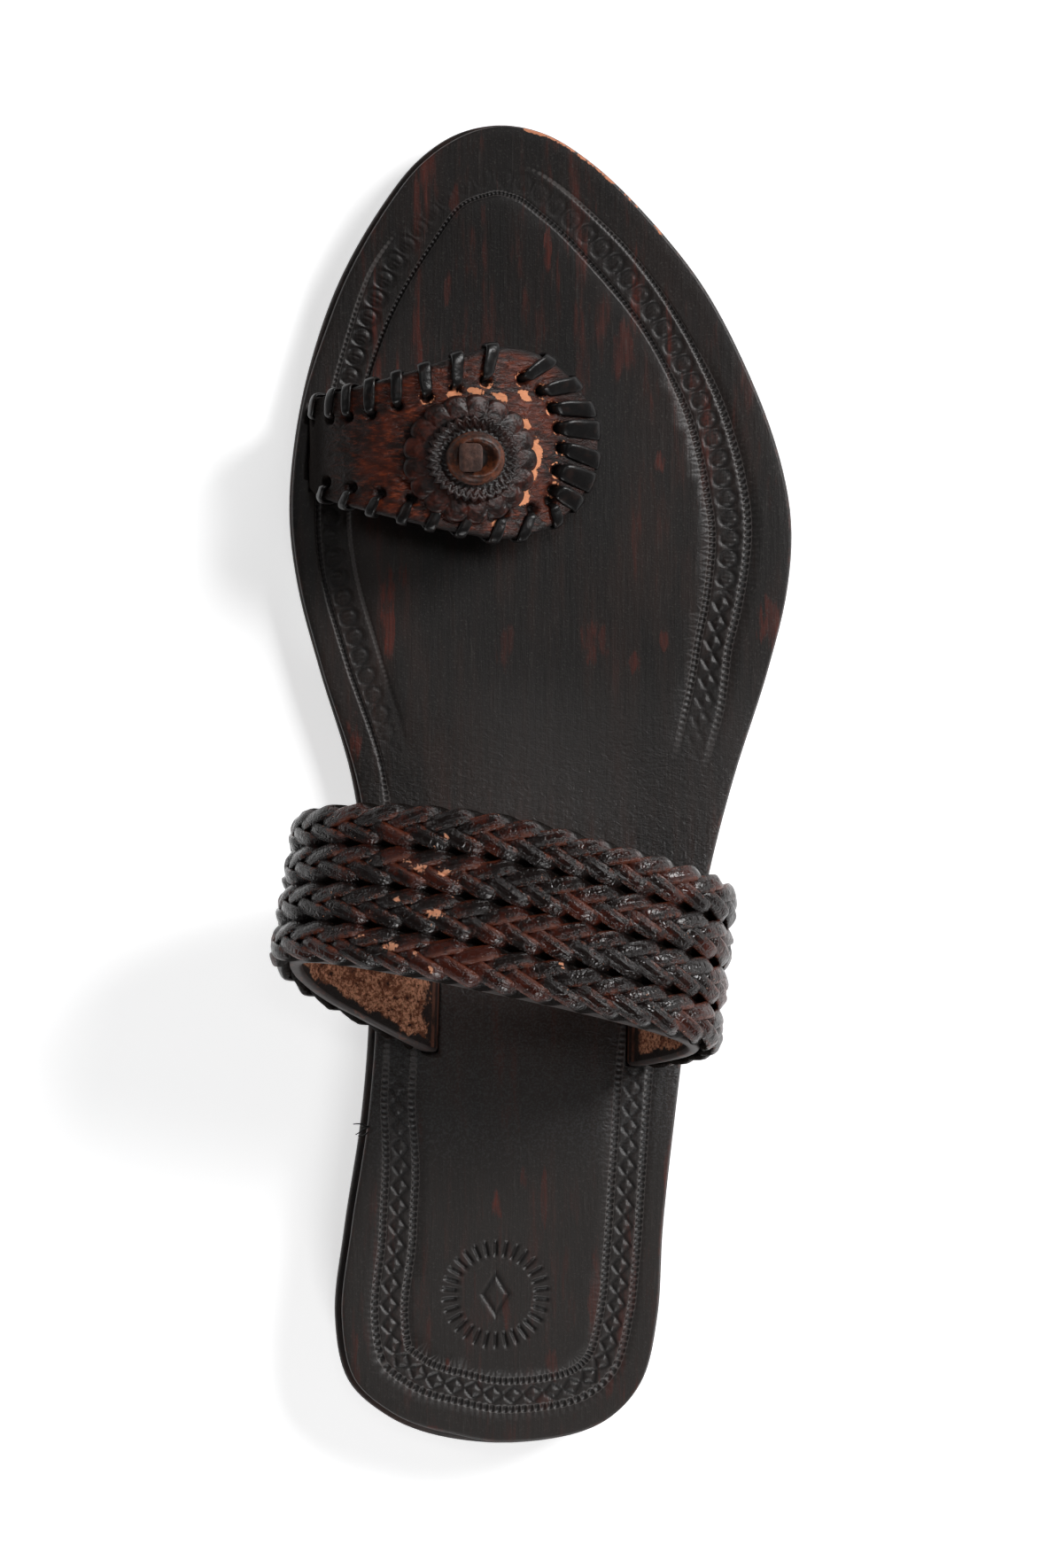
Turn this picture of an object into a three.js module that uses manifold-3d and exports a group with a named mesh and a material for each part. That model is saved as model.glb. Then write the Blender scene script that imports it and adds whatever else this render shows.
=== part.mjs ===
// Kolhapuri sandal, right foot: two leather soles on a heel lift, a braided instep band,
// and a toe strap held by a thong through a rosette.
// Millimetres. +Y points to the toe, +Z up, -X is the big-toe side, +X the little-toe side.
// The origin is on the floor under the middle of the heel.
import * as THREE from 'three';
import Module from 'manifold-3d';
import { mergeVertices } from 'three/addons/utils/BufferGeometryUtils.js';

// Sizes that drive everything else.
const soleLength = 270;
const heelMiddle = 32; // from the back end of the heel to the origin
const gap = 0.3; // between pieces that touch
const insoleThick = 3.4;
const outsoleThick = 4;
const heelLiftThick = 8;
const heelLiftLength = 62;
const waistEnd = 136; // where the arch meets the flat forefoot
const toeSpringStart = 205;
const toeSpring = 5;
const edgeBevel = 0.6;
const soleStep = 0.5; // how far the insole stands back from the outsole's edge
const waistStep = 0.9; // and how much more along the heel and waist on the big-toe side
const waistStepFades = 110;
const waistStepEnds = 160;
const heelLiftStep = 0.9; // how far the heel lift stands back

const bandThick = 2.6;
const braidThick = 4.6;
const braidCount = 4;
const strapThick = 2.6;

const rosetteAcross = -7.5;
const rosetteAlong = 200.6;
const largeDiscRadius = 12.9;
const smallDiscRadius = 8.8;
const buttonRadius = 5.3;
const discThick = 1.4;
const buttonThick = 2.6;
const buttonRim = 0.8; // height of the button's edge, under its dome
const scallops = 17;
const scallopDepth = 0.9;
const pinks = 32;
const pinkDepth = 0.5; // half the height of the small disc's teeth

const outlineSamples = 720;
const soleStations = 60;

// The sole's outline: a row for each distance from the back of the heel, and how far the edge
// stands out from the long axis on the big-toe side and on the little-toe side.
const outlineRows = [
  { at: 2, medial: 15.2, lateral: 15.8 },
  { at: 6, medial: 24.2, lateral: 23.4 },
  { at: 13, medial: 31.6, lateral: 28.9 },
  { at: 26, medial: 34.3, lateral: 31.9 },
  { at: 44, medial: 32.4, lateral: 33.0 },
  { at: 67, medial: 28.9, lateral: 35.5 },
  { at: 90, medial: 27.2, lateral: 38.5 },
  { at: 113, medial: 27.8, lateral: 42.2 },
  { at: 136, medial: 30.7, lateral: 48.1 },
  { at: 158, medial: 37.2, lateral: 55.1 },
  { at: 175, medial: 41.7, lateral: 59.2 },
  { at: 189, medial: 43.5, lateral: 60.0 },
  { at: 203, medial: 42.8, lateral: 57.4 },
  { at: 220, medial: 39.6, lateral: 51.0 },
  { at: 238, medial: 33.4, lateral: 41.3 },
  { at: 254, medial: 24.3, lateral: 27.9 },
  { at: 263, medial: 17.0, lateral: 17.9 },
  { at: 268.3, medial: 9.0, lateral: 9.0 },
];

// The instep band's middle surface, a row for each fold from the slot on the big-toe side, over
// the foot, to the slot on the little-toe side. Each row is a line from the band's heel-side edge
// to its toe-side edge; up is the height over the insole.
const bandRows = [
  { up: -3.1, heelX: -14.8, heelAt: 80.5, toeX: -13.6, toeAt: 122.5 },
  { up: 2.6, heelX: -14.8, heelAt: 80.5, toeX: -13.6, toeAt: 122.5 },
  { up: 8.2, heelX: -16.6, heelAt: 81.2, toeX: -15.2, toeAt: 122.9 },
  { up: 12.6, heelX: -21.2, heelAt: 83.6, toeX: -19.4, toeAt: 123.7 },
  { up: 16.4, heelX: -28.2, heelAt: 87.4, toeX: -25.6, toeAt: 124.9 },
  { up: 21.0, heelX: -35.6, heelAt: 91.6, toeX: -32.0, toeAt: 126.0 },
  { up: 27.4, heelX: -40.9, heelAt: 96.0, toeX: -36.2, toeAt: 127.0 },
  { up: 34.4, heelX: -42.4, heelAt: 99.2, toeX: -37.2, toeAt: 128.4 },
  { up: 41.2, heelX: -39.6, heelAt: 100.2, toeX: -34.4, toeAt: 130.0 },
  { up: 46.6, heelX: -31.6, heelAt: 99.6, toeX: -27.0, toeAt: 131.0 },
  { up: 49.6, heelX: -18.6, heelAt: 97.4, toeX: -14.6, toeAt: 130.6 },
  { up: 50.4, heelX: -3.6, heelAt: 94.4, toeX: 0.2, toeAt: 128.6 },
  { up: 49.0, heelX: 11.6, heelAt: 91.0, toeX: 15.2, toeAt: 124.6 },
  { up: 45.0, heelX: 25.2, heelAt: 87.4, toeX: 28.6, toeAt: 120.6 },
  { up: 38.6, heelX: 33.8, heelAt: 84.4, toeX: 37.6, toeAt: 117.4 },
  { up: 31.0, heelX: 36.8, heelAt: 82.4, toeX: 40.8, toeAt: 115.0 },
  { up: 23.4, heelX: 36.0, heelAt: 80.8, toeX: 39.6, toeAt: 113.8 },
  { up: 16.6, heelX: 32.8, heelAt: 79.4, toeX: 35.6, toeAt: 113.2 },
  { up: 10.2, heelX: 28.8, heelAt: 78.2, toeX: 30.6, toeAt: 113.0 },
  { up: 4.2, heelX: 26.9, heelAt: 77.6, toeX: 27.9, toeAt: 113.0 },
  { up: -3.1, heelX: 26.7, heelAt: 77.6, toeX: 27.6, toeAt: 113.0 },
];

// The toe strap's middle surface, from its slot by the big toe to the start of its round head.
// heelward and toeward are the half widths either side of the strap's own axis.
const strapAxisAt = 204;
const strapRows = [
  { x: -38.0, up: -3.1, heelward: 8.8, toeward: 8.8 },
  { x: -38.0, up: 2.4, heelward: 8.8, toeward: 8.8 },
  { x: -37.8, up: 8.6, heelward: 9.6, toeward: 9.2 },
  { x: -35.8, up: 15.0, heelward: 11.2, toeward: 9.8 },
  { x: -31.4, up: 20.2, heelward: 12.8, toeward: 10.9 },
  { x: -24.4, up: 23.6, heelward: 14.8, toeward: 12.7 },
  { x: -16.0, up: 24.6, heelward: 16.9, toeward: 15.2 },
  { x: -7.6, up: 23.4, heelward: 18.5, toeward: 18.0 },
  { x: -0.8, up: 21.2, heelward: 19.4, toeward: 19.4 },
  { x: 6.2, up: 18.2, heelward: 18.0, toeward: 18.1 },
  { x: 12.6, up: 15.0, heelward: 13.8, toeward: 14.0 },
  { x: 16.6, up: 12.9, heelward: 8.4, toeward: 8.6 },
  { x: 18.4, up: 11.9, heelward: 2.4, toeward: 2.4 },
];
const strapRoundRow = 8; // the row at the centre of the round head
const strapHeadRadius = 19.4;

// The thong's section at each height over the insole: a flat lace, then a folded knob on the button.
const thongHalfWide = 3.2;
const thongHalfThick = 1.4;
const thongKnobHalfWide = 3.7;
const thongKnobHalfThick = 2.9;

// A column of a table at t from 0 to 1, on a smooth curve through the rows.
function along(rows, column, t) {
  const place = Math.min(Math.max(t, 0), 1) * (rows.length - 1);
  const row = Math.min(Math.floor(place), rows.length - 2);
  const f = place - row;
  const value = (index) => rows[Math.min(Math.max(index, 0), rows.length - 1)][column];
  const [a, b, c, d] = [value(row - 1), value(row), value(row + 1), value(row + 2)];
  const slopeIn = (c - a) / 2;
  const slopeOut = (d - b) / 2;
  const bend = 2 * (b - c) + slopeIn + slopeOut;
  const lean = 3 * (c - b) - 2 * slopeIn - slopeOut;
  return ((bend * f + lean) * f + slopeIn) * f + b;
}

function smoothStep(from, to, value) {
  const f = Math.min(Math.max((value - from) / (to - from), 0), 1);
  return f * f * (3 - 2 * f);
}

// Height of the outsole's underside: level on the heel lift, down the arch, level under the
// forefoot, and up the toe spring. at is the distance from the back of the heel.
function soleRise(at) {
  const heel = (heelLiftThick + gap) * (1 - smoothStep(heelLiftLength, waistEnd, at));
  const toe = Math.max(0, (at - toeSpringStart) / (soleLength - toeSpringStart));
  return heel + toeSpring * toe * toe;
}

const insoleTop = (at) => soleRise(at) + outsoleThick + gap + insoleThick;

// One closed mesh from points and triangles, turned so that its faces point out.
function solidGeometry(points, triangles) {
  let volume = 0;
  for (const [a, b, c] of triangles) {
    volume += points[a].dot(new THREE.Vector3().crossVectors(points[b], points[c]));
  }
  const index = triangles.flatMap(([a, b, c]) => (volume > 0 ? [a, b, c] : [a, c, b]));
  const geometry = new THREE.BufferGeometry();
  const flat = points.flatMap((point) => point.toArray());
  geometry.setAttribute('position', new THREE.Float32BufferAttribute(flat, 3));
  geometry.setIndex(index);
  return geometry;
}

// A solid through rings of equal count, each ring's first half facing its second half.
function loft(rings) {
  const count = rings[0].length;
  const points = rings.flat();
  const triangles = [];
  for (let ring = 0; ring < rings.length - 1; ring += 1) {
    for (let i = 0; i < count; i += 1) {
      const a = ring * count + i;
      const b = ring * count + ((i + 1) % count);
      triangles.push([a, b, b + count], [a, b + count, a + count]);
    }
  }
  const last = (rings.length - 1) * count;
  for (let i = 0; i < count / 2 - 1; i += 1) {
    const [a, b, c, d] = [i, i + 1, count - 2 - i, count - 1 - i];
    triangles.push([a, c, b], [a, d, c]);
    triangles.push([last + a, last + b, last + c], [last + a, last + c, last + d]);
  }
  return solidGeometry(points, triangles);
}

// Boolean cuts, made on merged positions.
const wasm = await Module();
wasm.setup();

function toManifold(geometry) {
  const bare = geometry.clone();
  bare.deleteAttribute('normal');
  bare.deleteAttribute('uv');
  const merged = mergeVertices(bare, 1e-4);
  const mesh = new wasm.Mesh({
    numProp: 3,
    vertProperties: new Float32Array(merged.attributes.position.array),
    triVerts: new Uint32Array(merged.index.array),
  });
  return new wasm.Manifold(mesh);
}

function cutWith(geometry, tools) {
  let solid = toManifold(geometry);
  for (const tool of tools) {
    solid = solid.subtract(toManifold(tool));
  }
  const mesh = solid.getMesh();
  const result = new THREE.BufferGeometry();
  result.setAttribute('position', new THREE.BufferAttribute(new Float32Array(mesh.vertProperties), 3));
  result.setIndex(new THREE.BufferAttribute(new Uint32Array(mesh.triVerts), 1));
  return result;
}

// The outline as a closed smooth curve, moved inward by an amount that may change along it.
function outline(insetAt) {
  const lateral = outlineRows.map((row) => new THREE.Vector3(row.lateral, row.at, 0));
  const medial = outlineRows.map((row) => new THREE.Vector3(-row.medial, row.at, 0)).reverse();
  const heelEnd = new THREE.Vector3(0, 0, 0);
  const toeEnd = new THREE.Vector3(0, soleLength, 0);
  const curve = new THREE.CatmullRomCurve3([heelEnd, ...lateral, toeEnd, ...medial], true, 'centripetal');
  const sides = { lateral: [], medial: [] };
  for (let i = 0; i <= outlineSamples; i += 1) {
    const t = i / outlineSamples;
    const point = curve.getPoint(t % 1);
    const tangent = curve.getTangent(t % 1);
    const inset = insetAt(point.y, t <= 0.5 ? 'lateral' : 'medial');
    point.x -= tangent.y * inset;
    point.y += tangent.x * inset;
    if (t <= 0.5) sides.lateral.push(point);
    if (t >= 0.5) sides.medial.unshift(point);
  }
  return sides;
}

// Where one side of an outline crosses a distance along the sole.
function edgeAt(side, at) {
  let i = 1;
  while (i < side.length - 1 && side[i].y < at) {
    i += 1;
  }
  const [low, high] = [side[i - 1], side[i]];
  const f = Math.min(Math.max((at - low.y) / (high.y - low.y || 1), 0), 1);
  return low.x + (high.x - low.x) * f;
}

// One layer of the sole, with bevelled edges, through stations that crowd towards its round ends.
function soleLayer({ insetAt, to, lower, upper }) {
  const sides = outline(insetAt);
  const roundEnd = 0.12;
  const from = sides.lateral[0].y + roundEnd;
  const end = to ?? sides.lateral[sides.lateral.length - 1].y - roundEnd;
  const sweep = to ? Math.PI / 2 : Math.PI;
  const stations = to ? soleStations / 2 : soleStations;
  const rings = [];
  for (let i = 0; i <= stations; i += 1) {
    const f = (1 - Math.cos((sweep * i) / stations)) / (1 - Math.cos(sweep));
    const at = from + (end - from) * f;
    const left = edgeAt(sides.medial, at);
    const right = edgeAt(sides.lateral, at);
    const [low, high] = [lower(at), upper(at)];
    const corner = (x, z) => new THREE.Vector3(x, at - heelMiddle, z);
    rings.push([
      corner(left + edgeBevel, low),
      corner(right - edgeBevel, low),
      corner(right, low + edgeBevel),
      corner(right, high - edgeBevel),
      corner(right - edgeBevel, high),
      corner(left + edgeBevel, high),
      corner(left, high - edgeBevel),
      corner(left, low + edgeBevel),
    ]);
  }
  return loft(rings);
}

// The band's middle surface: across runs from its heel-side edge to its toe-side edge.
function bandPoint(across, t) {
  const edge = (x, at) => new THREE.Vector2(along(bandRows, x, t), along(bandRows, at, t));
  const plan = edge('heelX', 'heelAt').lerp(edge('toeX', 'toeAt'), across);
  const height = insoleTop(plan.y) + along(bandRows, 'up', t);
  return new THREE.Vector3(plan.x, plan.y - heelMiddle, height);
}

// The toe strap's middle surface, across as for the band. Past the centre of its head the half
// width follows a circle.
function strapPoint(across, t) {
  const x = along(strapRows, 'x', t);
  const beyond = x - strapRows[strapRoundRow].x;
  const round = Math.sqrt(Math.max(strapHeadRadius ** 2 - beyond ** 2, 0));
  const heelward = beyond > 0 ? round : along(strapRows, 'heelward', t);
  const toeward = beyond > 0 ? round : along(strapRows, 'toeward', t);
  const at = strapAxisAt - heelward + (heelward + toeward) * across;
  return new THREE.Vector3(x, at - heelMiddle, insoleTop(at) + along(strapRows, 'up', t));
}

// The outward direction of a middle surface: its run crossed with its width.
function outward(surface, across, t) {
  const step = 1e-3;
  const run = surface(across, Math.min(t + step, 1)).sub(surface(across, Math.max(t - step, 0)));
  const width = surface(Math.min(across + step, 1), t).sub(surface(Math.max(across - step, 0), t));
  return run.cross(width).normalize();
}

function offsetPoint(surface, across, t, height) {
  return surface(across, t).addScaledVector(outward(surface, across, t), height);
}

// A leather sheet of even thickness on a middle surface.
function sheet({ surface, thick, stations, columns }) {
  const rings = stations.map((t) => {
    const face = (height) => Array.from({ length: columns + 1 }, (_, i) => (
      offsetPoint(surface, i / columns, t, height)
    ));
    return [...face(thick / 2), ...face(-thick / 2).reverse()];
  });
  return loft(rings);
}

const evenly = (count, from, to) => (
  Array.from({ length: count + 1 }, (_, i) => from + ((to - from) * i) / count)
);

// One braid of the band: an oval rope on the band's outer face, one of four side by side.
const braidStations = 46;
const braidSides = 8;
const braidInset = 0.045; // how much of the band's run is left bare at each slot
const braidRoundness = 0.72; // below 1 squares the oval up

function braid(place) {
  const rings = evenly(braidStations, braidInset, 1 - braidInset).map((t) => {
    const width = bandPoint(0, t).distanceTo(bandPoint(1, t));
    const half = width / braidCount / 2 - gap / 2;
    const middle = (place + 0.5) / braidCount;
    return Array.from({ length: braidSides }, (_, side) => {
      const turn = ((side + 0.5) / braidSides) * 2 * Math.PI;
      const squared = (value) => Math.sign(value) * Math.abs(value) ** braidRoundness;
      const across = middle + (squared(Math.cos(turn)) * half) / width;
      const lift = (bandThick + braidThick) / 2 + gap + (squared(Math.sin(turn)) * braidThick) / 2;
      return offsetPoint(bandPoint, across, t, lift);
    });
  });
  return loft(rings);
}

// Where the strap's run reaches a distance across the shoe, past its steep start.
function strapRunAt(x) {
  let [low, high] = [0.25, 1];
  for (let i = 0; i < 40; i += 1) {
    const middle = (low + high) / 2;
    if (along(strapRows, 'x', middle) < x) low = middle;
    else high = middle;
  }
  return (low + high) / 2;
}

// A disc laid on the strap around the rosette's centre. The radius may change with the angle and
// the top may swell towards the middle.
function wrappedDisc({ radiusAt, sectors, rings, lower, upper, crown }) {
  const points = [];
  const triangles = [];
  const place = (radius, angle, height) => {
    const x = rosetteAcross + radius * Math.cos(angle);
    const at = rosetteAlong + radius * Math.sin(angle);
    const t = strapRunAt(x);
    const lift = strapThick / 2 + height;
    const base = new THREE.Vector3(x, at - heelMiddle, insoleTop(at) + along(strapRows, 'up', t));
    return base.addScaledVector(outward(strapPoint, 0.5, t), lift);
  };
  for (const top of [true, false]) {
    points.push(place(0, 0, top ? upper + crown : lower));
    for (let ring = 1; ring <= rings; ring += 1) {
      for (let sector = 0; sector < sectors; sector += 1) {
        const angle = (sector / sectors) * 2 * Math.PI;
        const f = ring / rings;
        const swell = crown * Math.sqrt(1 - f * f * 0.98);
        points.push(place(radiusAt(angle) * f, angle, top ? upper + swell : lower));
      }
    }
  }
  const perSide = 1 + rings * sectors;
  const vertex = (top, ring, sector) => (
    (top ? 0 : perSide) + (ring === 0 ? 0 : 1 + (ring - 1) * sectors + (sector % sectors))
  );
  for (let sector = 0; sector < sectors; sector += 1) {
    for (const top of [true, false]) {
      const fan = [vertex(top, 0, 0), vertex(top, 1, sector), vertex(top, 1, sector + 1)];
      triangles.push(top ? fan : fan.reverse());
      for (let ring = 1; ring < rings; ring += 1) {
        const [a, b] = [vertex(top, ring, sector), vertex(top, ring, sector + 1)];
        const [c, d] = [vertex(top, ring + 1, sector + 1), vertex(top, ring + 1, sector)];
        const pair = [[a, c, b], [a, d, c]];
        triangles.push(...(top ? pair : pair.map((face) => face.reverse())));
      }
    }
    const [a, b] = [vertex(true, rings, sector), vertex(true, rings, sector + 1)];
    const [c, d] = [vertex(false, rings, sector + 1), vertex(false, rings, sector)];
    triangles.push([a, d, c], [a, c, b]);
  }
  return solidGeometry(points, triangles);
}

// An upright block through a sheet or sole, for slots.
function slotBlock({ x, at, toX, toAt, wide, over, low, high }) {
  const run = new THREE.Vector2(toX - x, toAt - at);
  const block = new THREE.BoxGeometry(wide, run.length() + 2 * over, high - low);
  block.rotateZ(Math.atan2(run.y, run.x) - Math.PI / 2);
  block.translate((x + toX) / 2, (at + toAt) / 2 - heelMiddle, (high + low) / 2);
  return block;
}

const strapHeightAtRosette = insoleTop(rosetteAlong) + along(strapRows, 'up', strapRunAt(rosetteAcross));
const buttonTop = strapHeightAtRosette + strapThick / 2 + 3 * gap + 2 * discThick + buttonThick;
const thongFoot = insoleTop(rosetteAlong) - insoleThick + gap;

function thong() {
  const rows = [
    { height: thongFoot, wide: thongHalfWide, thick: thongHalfThick },
    { height: buttonTop - 0.4, wide: thongHalfWide, thick: thongHalfThick },
    { height: buttonTop + gap + 0.6, wide: thongHalfWide, thick: thongHalfThick },
    { height: buttonTop + gap + 0.9, wide: thongKnobHalfWide - 0.5, thick: thongKnobHalfThick - 0.4 },
    { height: buttonTop + gap + 1.6, wide: thongKnobHalfWide, thick: thongKnobHalfThick },
    { height: buttonTop + gap + 2.6, wide: thongKnobHalfWide - 0.2, thick: thongKnobHalfThick - 0.2 },
    { height: buttonTop + gap + 3.4, wide: thongKnobHalfWide - 1.2, thick: thongKnobHalfThick - 1 },
  ];
  const corner = 0.55; // part of the half size that each chamfer takes
  const rings = rows.map(({ height, wide, thick }) => {
    const cut = Math.min(wide, thick) * corner;
    const plan = [
      [-wide + cut, -thick], [wide - cut, -thick], [wide, -thick + cut], [wide, thick - cut],
      [wide - cut, thick], [-wide + cut, thick], [-wide, thick - cut], [-wide, -thick + cut],
    ];
    return plan.map(([x, y]) => (
      new THREE.Vector3(rosetteAcross + y, rosetteAlong - heelMiddle + x, height)
    ));
  });
  return loft(rings);
}

const thongHole = slotBlock({
  x: rosetteAcross,
  at: rosetteAlong - thongHalfWide,
  toX: rosetteAcross,
  toAt: rosetteAlong + thongHalfWide,
  wide: 2 * (thongHalfThick + gap),
  over: gap,
  low: thongFoot - insoleThick,
  high: buttonTop + 10,
});

const slotFor = (x, at, toX, toAt, thick) => slotBlock({
  x, at, toX, toAt, wide: thick + 2 * gap, over: gap, low: -10, high: 40,
});
const medialEnd = bandRows[0];
const lateralEnd = bandRows[bandRows.length - 1];
const strapEnd = strapRows[0];
const slots = [
  slotFor(medialEnd.heelX, medialEnd.heelAt, medialEnd.toeX, medialEnd.toeAt, bandThick),
  slotFor(lateralEnd.heelX, lateralEnd.heelAt, lateralEnd.toeX, lateralEnd.toeAt, bandThick),
  slotFor(
    strapEnd.x,
    strapAxisAt - strapEnd.heelward,
    strapEnd.x,
    strapAxisAt + strapEnd.toeward,
    strapThick,
  ),
  thongHole,
];

const leather = (color, roughness) => new THREE.MeshStandardMaterial({ color, roughness, metalness: 0 });
const sandal = new THREE.Group();

function addPiece(name, geometry, material) {
  const bare = geometry.clone();
  bare.computeVertexNormals();
  const piece = new THREE.Mesh(bare, material);
  piece.name = name;
  sandal.add(piece);
}

// Soles: the outsole shows as a thin step beyond the insole, widest along the medial waist.
const outsoleInset = () => 0;
const insoleInset = (at, side) => {
  const fade = 1 - smoothStep(waistStepFades, waistStepEnds, at);
  return side === 'medial' ? soleStep + waistStep * fade : soleStep;
};
const liftInset = () => heelLiftStep;

const outsole = soleLayer({
  insetAt: outsoleInset,
  lower: soleRise,
  upper: (at) => soleRise(at) + outsoleThick,
});
addPiece('outsole', outsole, leather(0x2a1812, 0.6));

const heelLift = soleLayer({
  insetAt: liftInset,
  to: heelLiftLength,
  lower: () => 0,
  upper: () => heelLiftThick,
});
addPiece('heel_lift', heelLift, leather(0x1d120e, 0.6));

const insole = soleLayer({
  insetAt: insoleInset,
  lower: (at) => insoleTop(at) - insoleThick,
  upper: insoleTop,
});
addPiece('insole', cutWith(insole, slots), leather(0x1c1210, 0.45));

// The instep band and its braids.
const bandStations = 52;
const band = sheet({
  surface: bandPoint,
  thick: bandThick,
  stations: evenly(bandStations, 0, 1),
  columns: 4,
});
addPiece('instep_band', band, leather(0x6b4029, 0.9));
for (let place = 0; place < braidCount; place += 1) {
  addPiece(`instep_braid_${braidCount - place}`, braid(place), leather(0x2b1510, 0.4));
}

// The toe strap, its rosette and the thong that holds it down.
const strapStations = 34;
const strap = sheet({
  surface: strapPoint,
  thick: strapThick,
  stations: evenly(strapStations, 0, 1),
  columns: 6,
});
addPiece('toe_strap', cutWith(strap, [thongHole]), leather(0x3a1a12, 0.45));

const discs = [
  {
    name: 'rosette_large',
    color: 0x33170f,
    radiusAt: (angle) => (
      largeDiscRadius - scallopDepth * (1 - Math.abs(Math.cos((scallops * angle) / 2)))
    ),
    sectors: scallops * 4,
    rings: 2,
    lower: gap,
    upper: gap + discThick,
    crown: 0,
  },
  {
    name: 'rosette_small',
    color: 0x2d140e,
    radiusAt: (angle) => smallDiscRadius - pinkDepth * (1 - Math.cos(pinks * angle)),
    sectors: pinks * 2,
    rings: 2,
    lower: 2 * gap + discThick,
    upper: 2 * gap + 2 * discThick,
    crown: 0,
  },
  {
    name: 'rosette_button',
    color: 0x4a2a1a,
    radiusAt: () => buttonRadius,
    sectors: 24,
    rings: 5,
    lower: 3 * gap + 2 * discThick,
    upper: 3 * gap + 2 * discThick + buttonRim,
    crown: buttonThick - buttonRim,
  },
];
for (const disc of discs) {
  addPiece(disc.name, cutWith(wrappedDisc(disc), [thongHole]), leather(disc.color, 0.45));
}
addPiece('toe_thong', thong(), leather(0x4a2c1e, 0.6));

export default sandal;
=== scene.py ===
import math
import bpy
import numpy as np
from mathutils import Matrix, Vector, geometry, noise


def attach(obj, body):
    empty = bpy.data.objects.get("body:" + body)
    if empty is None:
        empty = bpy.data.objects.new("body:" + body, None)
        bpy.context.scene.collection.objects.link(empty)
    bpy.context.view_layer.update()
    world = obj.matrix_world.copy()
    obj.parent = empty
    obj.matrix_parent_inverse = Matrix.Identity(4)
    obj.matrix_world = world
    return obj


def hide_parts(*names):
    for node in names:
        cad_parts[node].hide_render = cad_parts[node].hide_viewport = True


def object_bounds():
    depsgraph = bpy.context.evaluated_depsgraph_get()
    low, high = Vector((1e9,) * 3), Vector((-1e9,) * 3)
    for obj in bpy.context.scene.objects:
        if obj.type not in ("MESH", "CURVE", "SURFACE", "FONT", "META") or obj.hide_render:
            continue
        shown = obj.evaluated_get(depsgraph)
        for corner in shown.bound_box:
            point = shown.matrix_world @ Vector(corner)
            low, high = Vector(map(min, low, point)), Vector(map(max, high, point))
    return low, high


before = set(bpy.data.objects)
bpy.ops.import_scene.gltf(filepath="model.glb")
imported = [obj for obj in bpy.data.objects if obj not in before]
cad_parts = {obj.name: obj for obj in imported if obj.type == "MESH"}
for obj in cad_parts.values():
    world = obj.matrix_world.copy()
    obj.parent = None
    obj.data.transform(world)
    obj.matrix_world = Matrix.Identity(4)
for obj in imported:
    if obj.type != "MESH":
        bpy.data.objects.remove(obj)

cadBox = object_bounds()
mm = 0.001
seatY = 32.0  # the heel's back end lies this far behind the origin


sole = {
    "length": 270.0,
    "heelLift": 8.0,
    "heelLiftLength": 62.0,
    "waistEnd": 136.0,
    "toeSpringStart": 205.0,
    "toeSpring": 5.0,
    "outsole": 4.0,
    "insole": 3.4,
    "gap": 0.3,
}
outlineTable = {  # distance from the heel's back end, and how far each edge stands off the long axis
    "at": [2, 6, 13, 26, 44, 67, 90, 113, 136, 158, 175, 189, 203, 220, 238, 254, 263, 268.3],
    "medial": [15.2, 24.2, 31.6, 34.3, 32.4, 28.9, 27.2, 27.8, 30.7, 37.2, 41.7, 43.5, 42.8, 39.6,
               33.4, 24.3, 17, 9],
    "lateral": [15.8, 23.4, 28.9, 31.9, 33, 35.5, 38.5, 42.2, 48.1, 55.1, 59.2, 60, 57.4, 51,
                41.3, 27.9, 17.9, 9],
}
bandTable = {  # the instep band's folds, from the big-toe side's slot over to the other one
    "up": [-3.1, 2.6, 8.2, 12.6, 16.4, 21, 27.4, 34.4, 41.2, 46.6, 49.6, 50.4, 49, 45, 38.6, 31,
           23.4, 16.6, 10.2, 4.2, -3.1],
    "heelX": [-14.8, -14.8, -16.6, -21.2, -28.2, -35.6, -40.9, -42.4, -39.6, -31.6, -18.6, -3.6,
              11.6, 25.2, 33.8, 36.8, 36, 32.8, 28.8, 26.9, 26.7],
    "heelAt": [80.5, 80.5, 81.2, 83.6, 87.4, 91.6, 96, 99.2, 100.2, 99.6, 97.4, 94.4, 91, 87.4,
               84.4, 82.4, 80.8, 79.4, 78.2, 77.6, 77.6],
    "toeX": [-13.6, -13.6, -15.2, -19.4, -25.6, -32, -36.2, -37.2, -34.4, -27, -14.6, 0.2, 15.2,
             28.6, 37.6, 40.8, 39.6, 35.6, 30.6, 27.9, 27.6],
    "toeAt": [122.5, 122.5, 122.9, 123.7, 124.9, 126, 127, 128.4, 130, 131, 130.6, 128.6, 124.6,
              120.6, 117.4, 115, 113.8, 113.2, 113, 113, 113],
}
strapTable = {  # the toe strap, from its slot to the round head
    "x": [-38, -38, -37.8, -35.8, -31.4, -24.4, -16, -7.6, -0.8, 6.2, 12.6, 16.6, 18.4],
    "up": [-3.1, 2.4, 8.6, 15, 20.2, 23.6, 24.6, 23.4, 21.2, 18.2, 15, 12.9, 11.9],
    "heelward": [8.8, 8.8, 9.6, 11.2, 12.8, 14.8, 16.9, 18.5, 19.4, 18, 13.8, 8.4, 2.4],
    "toeward": [8.8, 8.8, 9.2, 9.8, 10.9, 12.7, 15.2, 18, 19.4, 18.1, 14, 8.6, 2.4],
}


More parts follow.
